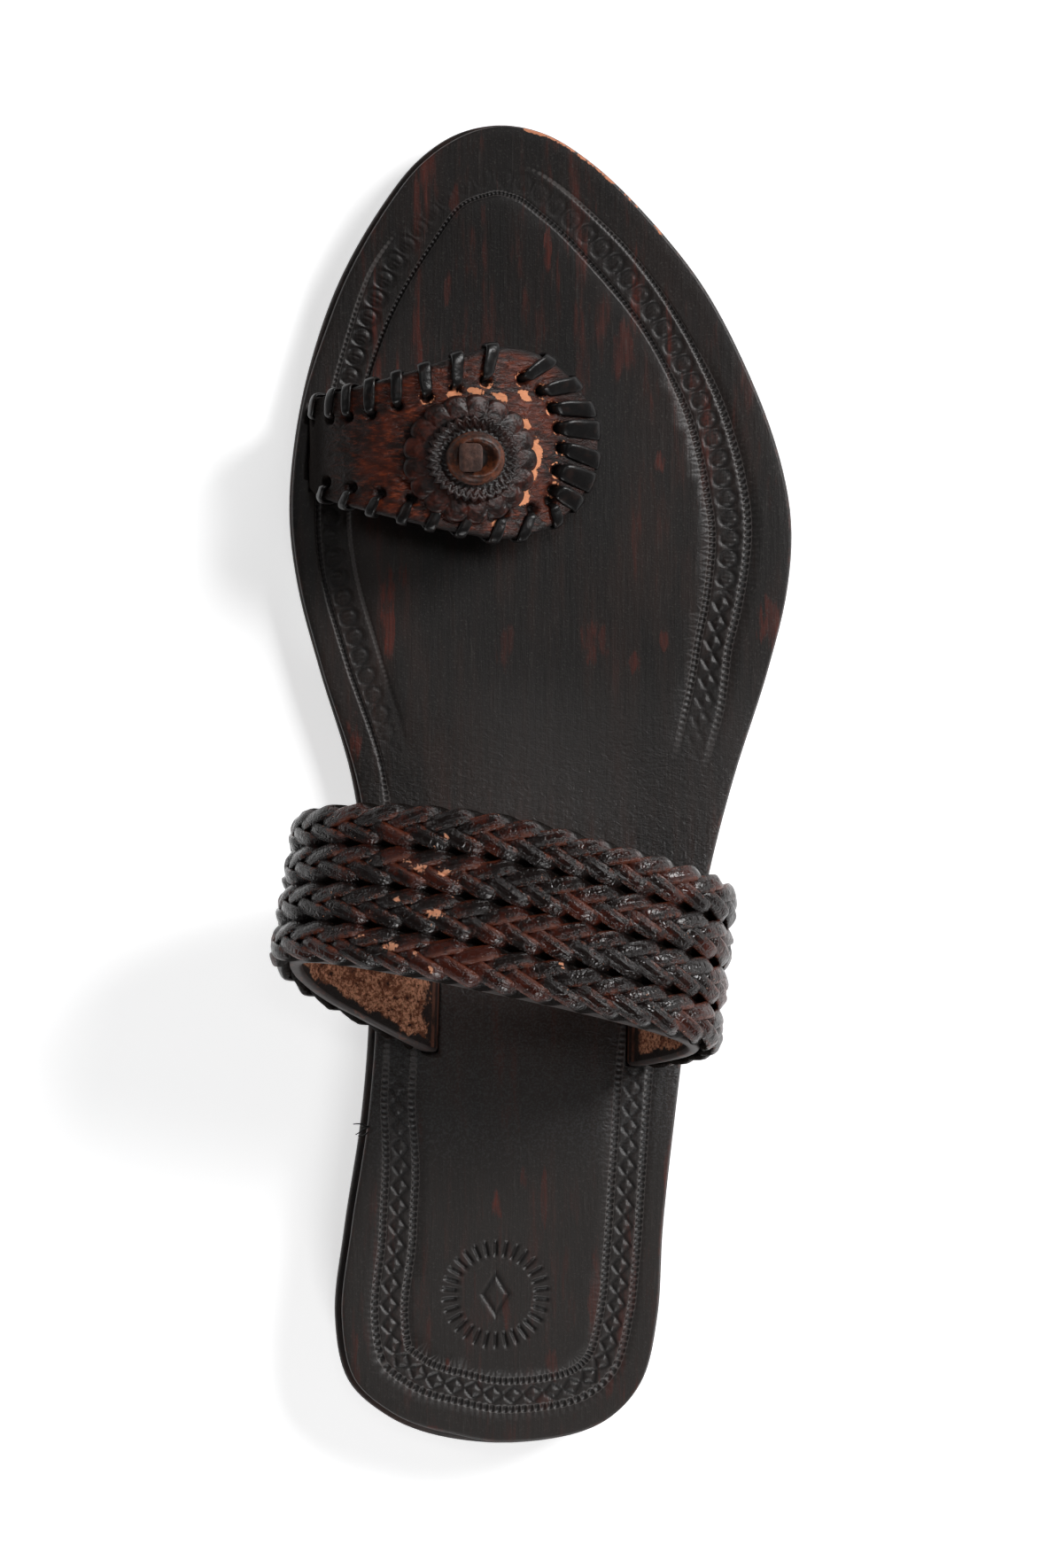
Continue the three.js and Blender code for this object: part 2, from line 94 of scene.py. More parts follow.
def curve(b, c, slopeIn, slopeOut, f):  # between two points, with the slope at each
    bend = 2 * (b - c) + slopeIn + slopeOut
    lean = 3 * (c - b) - 2 * slopeIn - slopeOut
    return ((bend * f + lean) * f + slopeIn) * f + b


def runAlong(path):  # the distance from a path's start to each of its points
    return np.concatenate([[0], np.cumsum(np.linalg.norm(np.diff(path, axis=0), axis=1))])


def alongRows(column, t):  # a table's column on a smooth curve, t from 0 to 1
    values = np.asarray(column, float)
    place = np.clip(t, 0, 1) * (len(values) - 1)
    row = np.minimum(np.floor(place).astype(int), len(values) - 2)
    last = len(values) - 1
    a, b, c, d = (values[np.clip(row + k, 0, last)] for k in (-1, 0, 1, 2))
    return curve(b, c, (c - a) / 2, (d - b) / 2, place - row)


def smoothStep(low, high, value):
    f = np.clip((value - low) / (high - low), 0, 1)
    return f * f * (3 - 2 * f)


def soleRise(at):
    heel = (sole["heelLift"] + sole["gap"]) * (1 - smoothStep(sole["heelLiftLength"], sole["waistEnd"], at))
    toe = np.maximum(0, (at - sole["toeSpringStart"]) / (sole["length"] - sole["toeSpringStart"]))
    return heel + sole["toeSpring"] * toe * toe


def insoleTop(at):
    return soleRise(at) + sole["outsole"] + sole["gap"] + sole["insole"]


stepsBetweenKnots = 40


def outlineLoop(count, insetAt):
    # the closed outline, lateral side first, evenly spaced and moved inward
    at = outlineTable["at"]
    lateral = list(zip(outlineTable["lateral"], at))
    medial = [(-x, y) for x, y in zip(outlineTable["medial"], at)][::-1]
    knots = np.array([(0, 0)] + lateral + [(0, sole["length"])] + medial, float)
    f = np.linspace(0, 1, stepsBetweenKnots, endpoint=False)[:, None]
    points = []
    for i in range(len(knots)):
        a, b, c, d = (knots[(i + k) % len(knots)] for k in (-1, 0, 1, 2))
        da, db, dc = (np.linalg.norm(q - p) ** 0.5 for p, q in ((a, b), (b, c), (c, d)))
        slopeIn = ((b - a) / da - (c - a) / (da + db) + (c - b) / db) * db
        slopeOut = ((c - b) / db - (d - b) / (db + dc) + (d - c) / dc) * db
        points.append(curve(b, c, slopeIn, slopeOut, f))
    loop = np.concatenate(points)
    closed = np.vstack([loop, loop[:1]])
    length = runAlong(closed)
    even = np.linspace(0, length[-1], count, endpoint=False)
    loop = np.stack([np.interp(even, length, closed[:, k]) for k in (0, 1)], axis=1)
    run = np.roll(loop, -1, axis=0) - np.roll(loop, 1, axis=0)
    run /= np.linalg.norm(run, axis=1)[:, None]
    inward = np.stack([-run[:, 1], run[:, 0]], axis=1)
    inset = insetAt(loop[:, 1], loop[:, 0])
    return loop + inward * inset[:, None], inward


def toWorld(x, at, z):  # millimetres by the shoe to the frame's millimetres
    return np.stack(np.broadcast_arrays(x, at - seatY, z), axis=-1).astype(float)


def bandSurface(across, t):
    heel = (alongRows(bandTable["heelX"], t), alongRows(bandTable["heelAt"], t))
    toe = (alongRows(bandTable["toeX"], t), alongRows(bandTable["toeAt"], t))
    x, at = (h + (k - h) * across for h, k in zip(heel, toe))
    return toWorld(x, at, insoleTop(at) + alongRows(bandTable["up"], t))


headMiddle = 8  # the strap table's row at the centre of its round head
headRadius = 19.4
strapAxis = 204.0


def strapSurface(across, t):
    x = alongRows(strapTable["x"], t)
    beyond = x - strapTable["x"][headMiddle]
    rounded = np.sqrt(np.maximum(headRadius ** 2 - beyond ** 2, 0))
    heelward = np.where(beyond > 0, rounded, alongRows(strapTable["heelward"], t))
    toeward = np.where(beyond > 0, rounded, alongRows(strapTable["toeward"], t))
    at = strapAxis - heelward + (heelward + toeward) * across
    return toWorld(x, at, insoleTop(at) + alongRows(strapTable["up"], t))


def unit(v):
    return v / np.maximum(np.linalg.norm(v, axis=-1, keepdims=True), 1e-9)


def outward(surface, across, t):
    step = 1e-3
    run = surface(across, np.minimum(t + step, 1)) - surface(across, np.maximum(t - step, 0))
    width = surface(np.minimum(across + step, 1), t) - surface(np.maximum(across - step, 0), t)
    return unit(np.cross(run, width))


def makePiece(name, points, faces, materials, faceSlots=None, fields=None, smooth=True):
    mesh = bpy.data.meshes.new(name)
    mesh.from_pydata((np.asarray(points) * mm).tolist(), [], faces)
    for material in materials:
        mesh.materials.append(material)
    if faceSlots is not None:
        mesh.polygons.foreach_set("material_index", np.asarray(faceSlots, dtype=np.int32))
    corner = np.empty(len(mesh.loops), dtype=np.int32)
    mesh.loops.foreach_get("vertex_index", corner)
    for key, values in (fields or {}).items():  # one or two numbers a point, kept as a UV map
        pair = np.zeros((len(points), 2), dtype=np.float32)
        pair[:, : 1 if values.ndim == 1 else 2] = values.reshape(len(points), -1)
        mesh.uv_layers.new(name=key).data.foreach_set("uv", pair[corner].ravel())
    mesh.polygons.foreach_set("use_smooth", np.full(len(mesh.polygons), smooth))
    mesh.update()
    piece = bpy.data.objects.new(name, mesh)
    bpy.context.scene.collection.objects.link(piece)
    return piece


def ringFaces(rings, count, start=0):
    # quads between closed rings of equal count
    faces = []
    for ring in range(rings - 1):
        base = start + ring * count
        for i in range(count):
            j = (i + 1) % count
            faces.append((base + i, base + j, base + count + j, base + count + i))
    return faces


def loft(rings):
    # a closed solid through an array of rings, capped across each ring's two halves
    count = rings.shape[1]
    faces = ringFaces(rings.shape[0], count)
    last = (rings.shape[0] - 1) * count
    for i in range(count // 2 - 1):
        a, b, c, d = i, i + 1, count - 2 - i, count - 1 - i
        faces.append((d, c, b, a))
        faces.append((last + a, last + b, last + c, last + d))
    return rings.reshape(-1, 3), faces


def faceOut(points, faces):
    # turns every face round if the solid is inside out
    p = np.asarray(points)
    volume = 0.0
    for face in faces:
        for k in range(1, len(face) - 1):
            volume += np.dot(p[face[0]], np.cross(p[face[k]], p[face[k + 1]]))
    return faces if volume > 0 else [tuple(reversed(face)) for face in faces]


def joinLofts(lofts):
    # many lofted solids as the points and faces of one mesh
    allPoints, allFaces, start = [], [], 0
    for rings in lofts:
        points, faces = loft(rings)
        allFaces += [tuple(i + start for i in face) for face in faceOut(points, faces)]
        allPoints.append(points)
        start += len(points)
    return np.concatenate(allPoints), allFaces


def section(sides, acrossPower, upPower):
    # a round section as two rows of offsets; powers under 1 square it off
    turns = np.linspace(0, 2 * np.pi, sides, endpoint=False)
    shape = lambda v, power: np.sign(v) * np.abs(v) ** power
    return shape(np.cos(turns), acrossPower), shape(np.sin(turns), upPower)


def sweep(line, across, up, wide, high):
    # rings along a line; wide and high hold a row of offsets for each ring
    return line[:, None, :] + across[:, None, :] * wide[:, :, None] + up[:, None, :] * high[:, :, None]


def wobble(points, size, seed=0.0):
    # smooth noise from -1 to 1 at each point; size is the feature in millimetres
    shift = Vector((seed, seed * 1.7, -seed))
    return np.array([noise.noise(Vector(p) / size + shift) for p in points.reshape(-1, 3)]).reshape(
        points.shape[:-1])


class Wire:
    # one socket of a material: sums on it add Math nodes
    def __init__(self, tree, socket=None):
        self.tree, self.socket = tree, socket

    def node(self, kind, settings=None, inputs=None, output=0):
        made = self.tree.nodes.new("ShaderNode" + kind)
        for key, value in (settings or {}).items():
            setattr(made, key, value)
        for key, value in (inputs or {}).items():
            if isinstance(value, Wire):
                self.tree.links.new(value.socket, made.inputs[key])
            else:
                made.inputs[key].default_value = value
        return Wire(self.tree, made.outputs[output] if made.outputs else None)

    def split(self):  # the first two numbers of a vector
        across = self.node("SeparateXYZ", None, {"Vector": self})
        return across, Wire(self.tree, across.socket.node.outputs[1])

    def sum(self, operation, *values):
        return self.node("Math", {"operation": operation}, dict(enumerate(values)))

    def __add__(self, other): return self.sum("ADD", self, other)
    def __radd__(self, other): return self.sum("ADD", other, self)
    def __sub__(self, other): return self.sum("SUBTRACT", self, other)
    def __rsub__(self, other): return self.sum("SUBTRACT", other, self)
    def __mul__(self, other): return self.sum("MULTIPLY", self, other)
    def __rmul__(self, other): return self.sum("MULTIPLY", other, self)

    def atLeast(self, other):
        return self.sum("MAXIMUM", self, other)

    def above(self, low, high):  # 0 under low, 1 over high, smooth between
        return self.node("MapRange", {"interpolation_type": "SMOOTHSTEP"},
                         {"Value": self, "From Min": low, "From Max": high})

    def mix(self, under, over):  # this as the mask between two colours
        under, over = (tint if isinstance(tint, Wire) else opaque(tint) for tint in (under, over))
        return self.node("Mix", {"data_type": "RGBA"}, {0: self, 6: under, 7: over}, output=2)


def opaque(tint):
    return (*tint, 1.0)


def newMaterial(name):
    material = bpy.data.materials.new(name)
    material.use_nodes = True
    tree = material.node_tree
    tree.nodes.clear()
    start = Wire(tree)
    place = start.node("TexCoord", output=3)
    return material, start, place


def stretched(place, x, y, z):
    return place.node("Mapping", None, {"Vector": place, "Scale": (x, y, z)})


def cloud(place, scale, detail=3.0, rough=0.55, distortion=0.0):
    return place.node("TexNoise", None, {"Vector": place, "Scale": scale, "Detail": detail,
                                         "Roughness": rough, "Distortion": distortion})


def field(start, name):  # the two numbers stored on a mesh under this name
    return start.node("UVMap", {"uv_map": name}).split()


# near-black colour of the painted shade that finish's matte share mixes in
paintedShadeTint = (0.0085, 0.0065, 0.0055)


def finish(start, base, roughness, height, bump, distance, sockets=None, matte=None):
    # the leather's shader, with bump from one height; matte is the share of painted shade, a dull near-black
    # diffuse laid over shaded parts
    normal = start.node("Bump", None, {"Height": height, "Strength": bump, "Distance": distance})
    inputs = {"Base Color": base, "Roughness": roughness, "Normal": normal}
    inputs.update(sockets or {})
    shader = start.node("BsdfPrincipled", None, inputs)
    if matte:
        paintedShadeMatte = start.node("BsdfDiffuse", None, {"Color": opaque(paintedShadeTint), "Normal": normal})
        shader = start.node("MixShader", None, {0: matte, 1: shader, 2: paintedShadeMatte})
    start.node("OutputMaterial", None, {"Surface": shader})


redScuffs = [  # dye rubbed red on the insole: place in plan, half width, half length, strength
    (-23.6, 170.5, 1.9, 10.0, 0.9), (-20.2, 178.0, 1.0, 4.0, 0.6), (-30.6, 144.5, 1.8, 6.5, 0.9),
    (19.5, 164.0, 3.4, 6.0, 0.6), (27.0, 160.0, 1.8, 2.6, 0.7), (33.4, 164.5, 1.2, 2.4, 0.6),
    (55.0, 168.0, 2.4, 6.0, 0.6), (32.8, 201.0, 1.6, 2.6, 0.7), (9.4, 243.5, 1.1, 6.5, 0.8),
    (25.0, 222.0, 3.0, 8.0, 0.45), (-11.0, 236.0, 1.0, 4.5, 0.6), (0.5, 163.0, 2.4, 5.0, 0.35),
    (-1.4, 49.4, 1.2, 4.4, 0.8), (8.3, 49.6, 0.9, 7.5, 0.45), (-9.5, 254.0, 1.4, 4.0, 0.5),
    (4.3, 54.5, 0.8, 3.5, 0.4), (18.6, 32.0, 1.6, 9.0, 0.4), (26.4, 33.0, 1.1, 9.0, 0.5),
    (0.6, 28.0, 1.0, 4.5, 0.5), (-11.0, 16.4, 0.9, 1.6, 0.6), (10.0, 16.5, 1.4, 4.0, 0.4),
    (33.4, 53.0, 0.9, 8.0, 0.5), (-26.0, 40.0, 0.9, 12.0, 0.4), (8.4, 9.0, 2.4, 2.0, 0.4),
    (-30.5, 20.0, 1.4, 5.0, 0.4), (-15.0, 3.0, 3.0, 1.2, 0.5), (22.0, 12.0, 1.6, 4.0, 0.4),
]


def makeInsoleLeather():
    look = {
        "black": (0.0122, 0.0104, 0.0098),
        "brown": (0.024, 0.0148, 0.0124),
        "oxblood": (0.14, 0.0207, 0.0104),
        "dustAndSheen": (0.033, 0.029, 0.0272),
        "tan": (0.6, 0.235, 0.125),
        "ridge": (0.115, 0.104, 0.1),
        "rim": (0.1, 0.03, 0.02),
    }
    material, start, place = newMaterial("insoleLeather")
    edge, depth = field(start, "edge")
    acrossX, alongY = place.split()
    toward = alongY.above(0.13, 0.205)  # the toe is darker, with finer red streaks
    ragged = cloud(stretched(place, 620, 110, 200), 1.0, 4, 0.65)
    streak = cloud(stretched(place, 340, 34, 60), 1.0, 4, 0.62)
    patch = cloud(stretched(place, 42, 16, 30), 1.0, 3, 0.5)
    fine = cloud(stretched(place, 1500, 90, 200), 1.0, 3, 0.65)
    red = streak.above(0.55, 0.7) * patch.above(0.42, 0.62)
    red = red * (0.25 + toward * 0.75 + (1 - alongY.above(0.02, 0.05)) * 0.6)
    red = red.atLeast(toward * (streak * 0.6 + ragged * 0.4).above(0.52, 0.64) * 0.45)
    for x, at, wide, long, amount in redScuffs:
        dx, dy = (acrossX - x * mm) * (1 / (wide * mm)), (alongY - (at - seatY) * mm) * (1 / (long * mm))
        near = 1 - dx * dx - dy * dy + (ragged - 0.5) * 4.5
        red = red.atLeast(near.above(0.2, 0.9) * amount)
    heelEnd = 1 - alongY.above(0.0, 0.035)
    red = red.atLeast(heelEnd * (streak * 0.55 + ragged * 0.45).above(0.5, 0.66) * 0.3)
    red = red * (0.4 + fine.above(0.35, 0.65) * 0.6)
    base = (patch * 0.5 + streak * 0.5).above(0.42, 0.62).mix(look["black"], look["brown"])
    base = (toward * 0.5).mix(base, (0.0054, 0.0043, 0.0041))
    # dust and painted sheen: the heel is lighter and greyer
    heelDustAndSheen = 1 - alongY.above(0.012, 0.085)
    base = (heelDustAndSheen * (0.5 + patch * 0.5)).mix(base, look["dustAndSheen"])
    base = (red * 0.75).mix(base, look["oxblood"])
    pores = cloud(place, 2400, 2, 0.5)
    base = ((pores.above(0.55, 0.75) + fine.above(0.6, 0.78)) * 0.4).mix(base, (0.066, 0.058, 0.054))
    # painted highlight: the bead lines' edges are coloured lighter grey
    beads = field(start, "struck")[0]
    ridge = beads.above(0.015, 0.06) * (1 - beads.above(0.1, 0.2))
    base = (ridge * 0.65).mix(base, look["ridge"])
    # painted shade: the deep stamped grooves are darker
    base = (depth.above(0.12, 0.3) * 0.6).mix(base, (0.0063, 0.0054, 0.0054))
    # dust and painted sheen: grey speckles on the waist's slope behind the band
    slope = alongY.above(0.02, 0.035) * (1 - alongY.above(0.075, 0.1))
    base = (slope * pores.above(0.44, 0.62) * 0.6).mix(base, (0.05, 0.05, 0.052))
    # painted sheen: a lighter grey band across the middle of the forefoot
    paintedSheen = alongY.above(0.088, 0.1) * (1 - alongY.above(0.112, 0.13)) * acrossX.above(-0.016, 0.004)
    base = (paintedSheen * (0.35 + patch * 0.4)).mix(base, (0.034, 0.031, 0.03))
    rimNoise = cloud(place, 260, 4, 0.6)
    rim = (1 - edge.above(0.1, 0.8)) * rimNoise.above(0.5, 0.7)
    base = (rim * 0.5).mix(base, look["rim"])
    tip = alongY.above(0.19, 0.215) * acrossX.above(-0.008, 0.008)
    reach = (1 - edge.above(0.2, 1.5)) * 0.42 + alongY.above(0.222, 0.229) * 0.12 + tip * 0.6
    wear = (reach + rimNoise * 0.5 + cloud(place, 950, 4, 0.65) * 0.5).above(1.57, 1.61)
    base = wear.mix(base, look["tan"])
    grain = cloud(place, 1300, 3, 0.6)
    crease = cloud(stretched(place, 520, 900, 500), 1.0, 3, 0.55, 1.2)
    waist = alongY.above(0.015, 0.05) * (1 - alongY.above(0.1, 0.13))
    height = grain * (0.16 + waist * 0.4) + pores * 0.25 + crease * (0.04 + waist * 1.4) + fine * 0.55
    roughness = 0.36 + grain * 0.14 + red * 0.08 + wear * 0.3
    finish(start, base, roughness, height, 0.5, 0.0003, {"Specular IOR Level": 0.4})
    return material


def makeEdgeLeather(name, light, low, high):
    # cut edges and undersides: layered fibres, burnished
    material, start, place = newMaterial(name)
    layers = cloud(stretched(place, 60, 60, 2600), 1.0, 4, 0.6)
    blotch = cloud(place, 120, 4, 0.6)
    mask = layers.above(0.42, 0.7) * 0.6 + blotch.above(0.5, 0.75) * 0.5
    base = mask.mix((0.0144, 0.0099, 0.009), light)
    grain = cloud(place, 1500, 3, 0.6)
    roughness = low + grain * (high - low)
    finish(start, base, roughness, layers * 0.6 + grain * 0.5, 0.5, 0.0003,
           {"Specular IOR Level": 0.45})
    return material


def makeSuede():
    look = {"tan": (0.75, 0.36, 0.215), "deep": (0.15, 0.05, 0.026), "dye": (0.0135, 0.0086, 0.0077),
            "layer": (0.26, 0.1, 0.06)}
    material, start, place = newMaterial("suede")
    margin, low = field(start, "edge")
    nap = cloud(place, 1500, 5, 0.75)
    blotch = cloud(place, 190, 5, 0.7)
    base = nap.above(0.38, 0.6).mix(look["deep"], look["tan"])
    specks = cloud(place, 620, 4, 0.72)
    clump = cloud(place, 170, 3, 0.6)
    base = ((specks * 0.6 + clump * 0.4).above(0.49, 0.55) * 0.9).mix(base, look["deep"])
    base = ((specks * 0.75 + nap * 0.25).above(0.57, 0.62) * 0.9).mix(base, look["dye"])
    dyed = 1 - (margin + (blotch - 0.5) * 7.0).above(1.9, 2.5)
    base = dyed.mix(base, look["dye"])
    foot = 1 - (low + (blotch - 0.5) * 14.0).above(11.5, 12.6)
    base = (foot * 0.96).mix(base, look["dye"])
    for near, far in ((3.8, 6.4), (8.6, 10.2)):  # raw layers of the tab where it dips into its slot
        line = low.above(near, near + 0.5) * (1 - low.above(far, far + 0.5)) * blotch.above(0.36, 0.5)
        base = (line * 0.55).mix(base, look["layer"])
    roughness = 0.93 - dyed * 0.3 - foot * 0.2
    finish(start, base, roughness, nap + specks * 0.6, 0.8, 0.0006, {"Specular IOR Level": 0.25})
    return material


def makeBandEdge():
    # the band's cut edge: black dye over layered fibres, with tan showing through
    material, start, place = newMaterial("bandEdge")
    blotch = cloud(place, 500, 4, 0.6)
    base = blotch.above(0.55, 0.75).mix((0.0288, 0.0198, 0.018), (0.126, 0.0468, 0.0288))
    finish(start, base, 0.5 + blotch * 0.1, blotch, 0.5, 0.0003)
    return material


def makeBraidLeather():
    look = {
        "black": (0.0085, 0.0052, 0.0045),
        "mahogany": (0.05, 0.0092, 0.0045),
        "ridge": (0.17, 0.041, 0.0175),
        "tan": (0.744, 0.336, 0.192),
    }
    material, start, place = newMaterial("braidLeather")
    flank, run = field(start, "strand")
    crown, worn = field(start, "crown")
    blotch = cloud(place, 110, 4, 0.6)
    fibre = cloud(place, 800, 4, 0.65)
    base = (blotch * 0.7 + fibre * 0.3).above(0.47, 0.64).mix(look["black"], look["mahogany"])
    side = flank.above(0.45, 0.9) * (fibre * 0.5 + blotch * 0.5).above(0.45, 0.58)
    base = (side * 0.45).mix(base, look["ridge"])
    # painted shade: darker where the strands lie low between one another
    base = ((1 - crown.above(0.1, 0.8)) * 0.9).mix(base, (0.0045, 0.0031, 0.0028))
    ragged = cloud(place, 1100, 4, 0.7)
    bare = (worn + (ragged - 0.5) * 2.6).above(0.5, 0.56)
    base = bare.mix(base, look["tan"])
    along = start.node("CombineXYZ", None, {"X": flank * 5.0, "Y": run * 0.3})
    lines = start.node("TexNoise", {"noise_dimensions": "2D"},
                       {"Vector": along, "Scale": 2.2, "Detail": 4.0, "Roughness": 0.6})
    cracks = start.node("TexVoronoi", {"feature": "DISTANCE_TO_EDGE"},
                        {"Vector": stretched(place, 1, 1, 0.6), "Scale": 900.0})
    wrinkle = cloud(place, 480, 3, 0.6, 1.0)
    height = lines * 0.9 + wrinkle * 0.5 + cracks.above(0.0, 0.22) * 0.22 + fibre * 0.3
    roughness = 0.11 + fibre * 0.1 + bare * 0.45
    # painted shade: the same low places also get the near-black matte
    crevice = 1 - crown.above(-0.3, 0.5)
    finish(start, base, roughness, height, 0.5, 0.0005, {"Specular IOR Level": 0.42}, crevice * 0.85)
    return material


def makeStrapLeather():
    look = {
        "dark": (0.0118, 0.0052, 0.004),
        "red": (0.084, 0.0152, 0.0062),
        "bright": (0.24, 0.046, 0.0135),
        "tan": (0.792, 0.324, 0.168),
    }
    material, start, place = newMaterial("strapLeather")
    # the wear field holds real wear to the tan, and dim: darker edges plus painted shade at the slot end, in
    # the holes, between the laces round the head and underneath
    worn, dim = field(start, "wear")
    blotch = cloud(place, 130, 4, 0.6)
    fibre = cloud(stretched(place, 500, 1300, 500), 1.0, 4, 0.65)
    base = (blotch * 0.6 + fibre * 0.4).above(0.4, 0.62).mix(look["dark"], look["red"])
    base = (fibre.above(0.5, 0.72) * 0.62).mix(base, look["bright"])
    # painted shade, with the darker edges, from dim
    base = (dim * 0.95).mix(base, (0.0062, 0.0042, 0.0038))
    ragged = cloud(place, 700, 4, 0.65)
    bare = (worn + (ragged - 0.5) * 1.3).above(0.5, 0.56)
    base = bare.mix(base, look["tan"])
    wrinkle = cloud(stretched(place, 260, 620, 300), 1.0, 4, 0.6, 1.5)
    grain = cloud(place, 2000, 3, 0.6)
    height = wrinkle * 1.1 + fibre * 0.5 + grain * 0.15 - bare * 0.25
    roughness = 0.22 + fibre * 0.16 + bare * 0.45 + dim * 0.1
    # the last argument is the share of painted shade, a near-black matte towards the slot end
    finish(start, base, roughness, height, 0.7, 0.0007, {"Specular IOR Level": 0.26}, field(start, "paintedShadeMatte")[0])
    return material


def makeLaceLeather():
    material, start, place = newMaterial("laceLeather")
    blotch = cloud(place, 400, 3, 0.6)
    base = blotch.above(0.5, 0.75).mix((0.0052, 0.0046, 0.0046), (0.016, 0.0095, 0.008))
    grain = cloud(place, 1800, 3, 0.6)
    finish(start, base, 0.25 + grain * 0.12, grain * 0.25 + blotch * 0.8, 0.4, 0.0004,
           {"Specular IOR Level": 0.3})
    return material


def makeRosetteLeather(name, dark, warm, amount, rough, hollow):
    material, start, place = newMaterial(name)
    blotch = cloud(place, 260, 4, 0.6)
    fibre = cloud(place, 1100, 4, 0.65)
    base = (blotch * 0.6 + fibre * 0.4).above(0.42, 0.66).mix(dark, warm)
    if hollow:
        # painted shade: darker where the top sinks, most in the button's hole round the thong
        sunk = field(start, "sunk")[0]
        base = (sunk.above(0.02, 0.3) * hollow).mix(base, (0.0054, 0.00396, 0.0036))
    finish(start, base, rough + fibre * 0.2, fibre * 0.5 + blotch * 0.6, 0.55, 0.0005 * amount,
           {"Specular IOR Level": 0.32})
    return material


print("materials")
insoleLeather = makeInsoleLeather()
soleLeather = makeEdgeLeather("soleLeather", (0.054, 0.0216, 0.0144), 0.34, 0.6)
liftLeather = makeEdgeLeather("liftLeather", (0.063, 0.0252, 0.0162), 0.4, 0.64)
suede = makeSuede()
bandEdge = makeBandEdge()
braidLeather = makeBraidLeather()
strapLeather = makeStrapLeather()
laceLeather = makeLaceLeather()
rosetteFinishes = {  # dark and warm tints, the grain's height, roughness, and how dark the painted shade in the hollows is
    "disc": ((0.0082, 0.0036, 0.0028), (0.062, 0.0118, 0.006), 1.0, 0.24, 0.85),
    "pinked": ((0.0088, 0.0048, 0.0042), (0.032, 0.0095, 0.0065), 1.0, 0.24, 0.85),
    "button": ((0.0205, 0.0085, 0.0055), (0.15, 0.042, 0.017), 0.8, 0.3, 0.95),
    "thong": ((0.036, 0.0175, 0.0132), (0.125, 0.06, 0.044), 1.3, 0.5, 0.0),
}
rosetteLeathers = {name: makeRosetteLeather(f"{name}Leather", *row) for name, row in rosetteFinishes.items()}


insoleLook = {
    "loop": 2304,
    "lineRings": (-0.9, -0.55, -0.3, -0.1, 0.1, 0.3, 0.55, 0.9),
    "chainRings": 10,
    "inset": 0.5,
    "medialInset": 0.9,  # more along the heel and waist on the big-toe side
    "toeInset": 0.7,  # and along the toe on that side
    "corner": 0.55,  # round of the upper edge
    "beadPitch": 1.25,
    "finer": 0.2,  # how much closer the beads stand on the forefoot
    "diamondPitch": 4.05,
    "ringPitch": 4.15,
    "step": 0.32,  # how far the middle stands over the stamped margin
    "stepStarts": 136,
    "stepEnds": 150,
    "farInside": 20.0,  # the distance from the edge that the middle's points are given
    "topSpacing": 2.6,  # of the loose triangles on the top and underneath
    "underSpacing": 6.0,
    "medallion": {"x": -1.5, "at": 30.8, "outer": 10.9, "inner": 8.0, "margin": 1.1, "ticks": 30,
                  "perTick": 10, "hoops": 28, "tickHalf": 0.42, "tickDeep": 0.5,
                  "lozengeHalfWide": 2.5, "lozengeHalfLong": 4.0, "lozengeDeep": 0.45},
}
borderTable = {  # distances from the edge to the two bead lines, and how hard each tool was struck
    "medial": {
        "at": [0, 15, 43, 58, 70, 84, 138, 147, 160, 177, 187, 200, 216, 230, 243, 252, 262, 270],
        "outer": [6.8, 6.8, 6.6, 5.0, 2.8, 2.4, 5.6, 5.6, 5.3, 5.0, 5.3, 5.6, 5.4, 4.6, 3.6, 4.6, 6.6, 7.5],
        "inner": [12.6, 12.8, 12.8, 11.2, 8.4, 8.0, 11.6, 12.0, 12.0, 11.6, 11.6, 11.6, 11.4, 11.2,
                  11.6, 11.9, 11.6, 13.6],
        "chain": [0.9, 1, 1, 1, 0.8, 0, 0, 0.6, 0.8, 0.8, 0.6, 0.9, 1, 1, 0.7, 0.3, 0.12, 0.12],
        "outerLine": [1, 1, 1, 1, 0.8, 0, 0.6, 1, 1, 1, 0.9, 0.7, 0.5, 0.45, 0.2, 0, 0, 0],
        "innerLine": [1, 1, 1, 1, 0.8, 0, 0, 0, 0.15, 0.2, 0.2, 0.7, 1, 1, 1, 1, 0.8, 0.7],
    },
    "lateral": {
        "at": [0, 15, 43, 60, 74, 92, 136, 148, 160, 175, 198, 218, 236, 250, 258, 264, 270],
        "outer": [6.8, 6.0, 4.7, 5.4, 6.1, 6.2, 6.2, 6.6, 9.0, 9.2, 8.6, 7.7, 8.0, 7.6, 8.0, 7.8, 7.5],
        "inner": [12.6, 12.0, 10.8, 11.5, 12.3, 12.4, 12.6, 13.8, 15.4, 16.2, 16.4, 14.7, 14.9,
                  15.0, 14.8, 14.6, 13.8],
        "chain": [0.9, 1, 1, 1, 0.9, 0, 0, 0.7, 1, 1, 1, 0.95, 0.85, 0.8, 0.6, 0.3, 0.15],
        "outerLine": [1, 1, 1, 1, 0.9, 0, 0, 0.7, 1, 1, 1, 1, 0.9, 0.6, 0.35, 0.15, 0],
        "innerLine": [1, 1, 1, 1, 0.9, 0, 0, 0.7, 1, 1, 1, 1, 1, 1, 0.9, 0.8, 0.7],
    },
}


def borderAt(at, lateral, key):
    tables = (np.interp(at, borderTable[side]["at"], borderTable[side][key]) for side in ("lateral", "medial"))
    values = np.where(lateral, *tables)
    spread = 25  # evens out the corners of the table
    kernel = np.ones(spread) / spread
    around = np.concatenate([values[-spread:], values, values[:spread]])
    return np.convolve(around, kernel, mode="same")[spread:-spread]


def wholeRepeats(total, pitch):  # the pitch that fits a whole number of times
    return total / round(total / pitch)


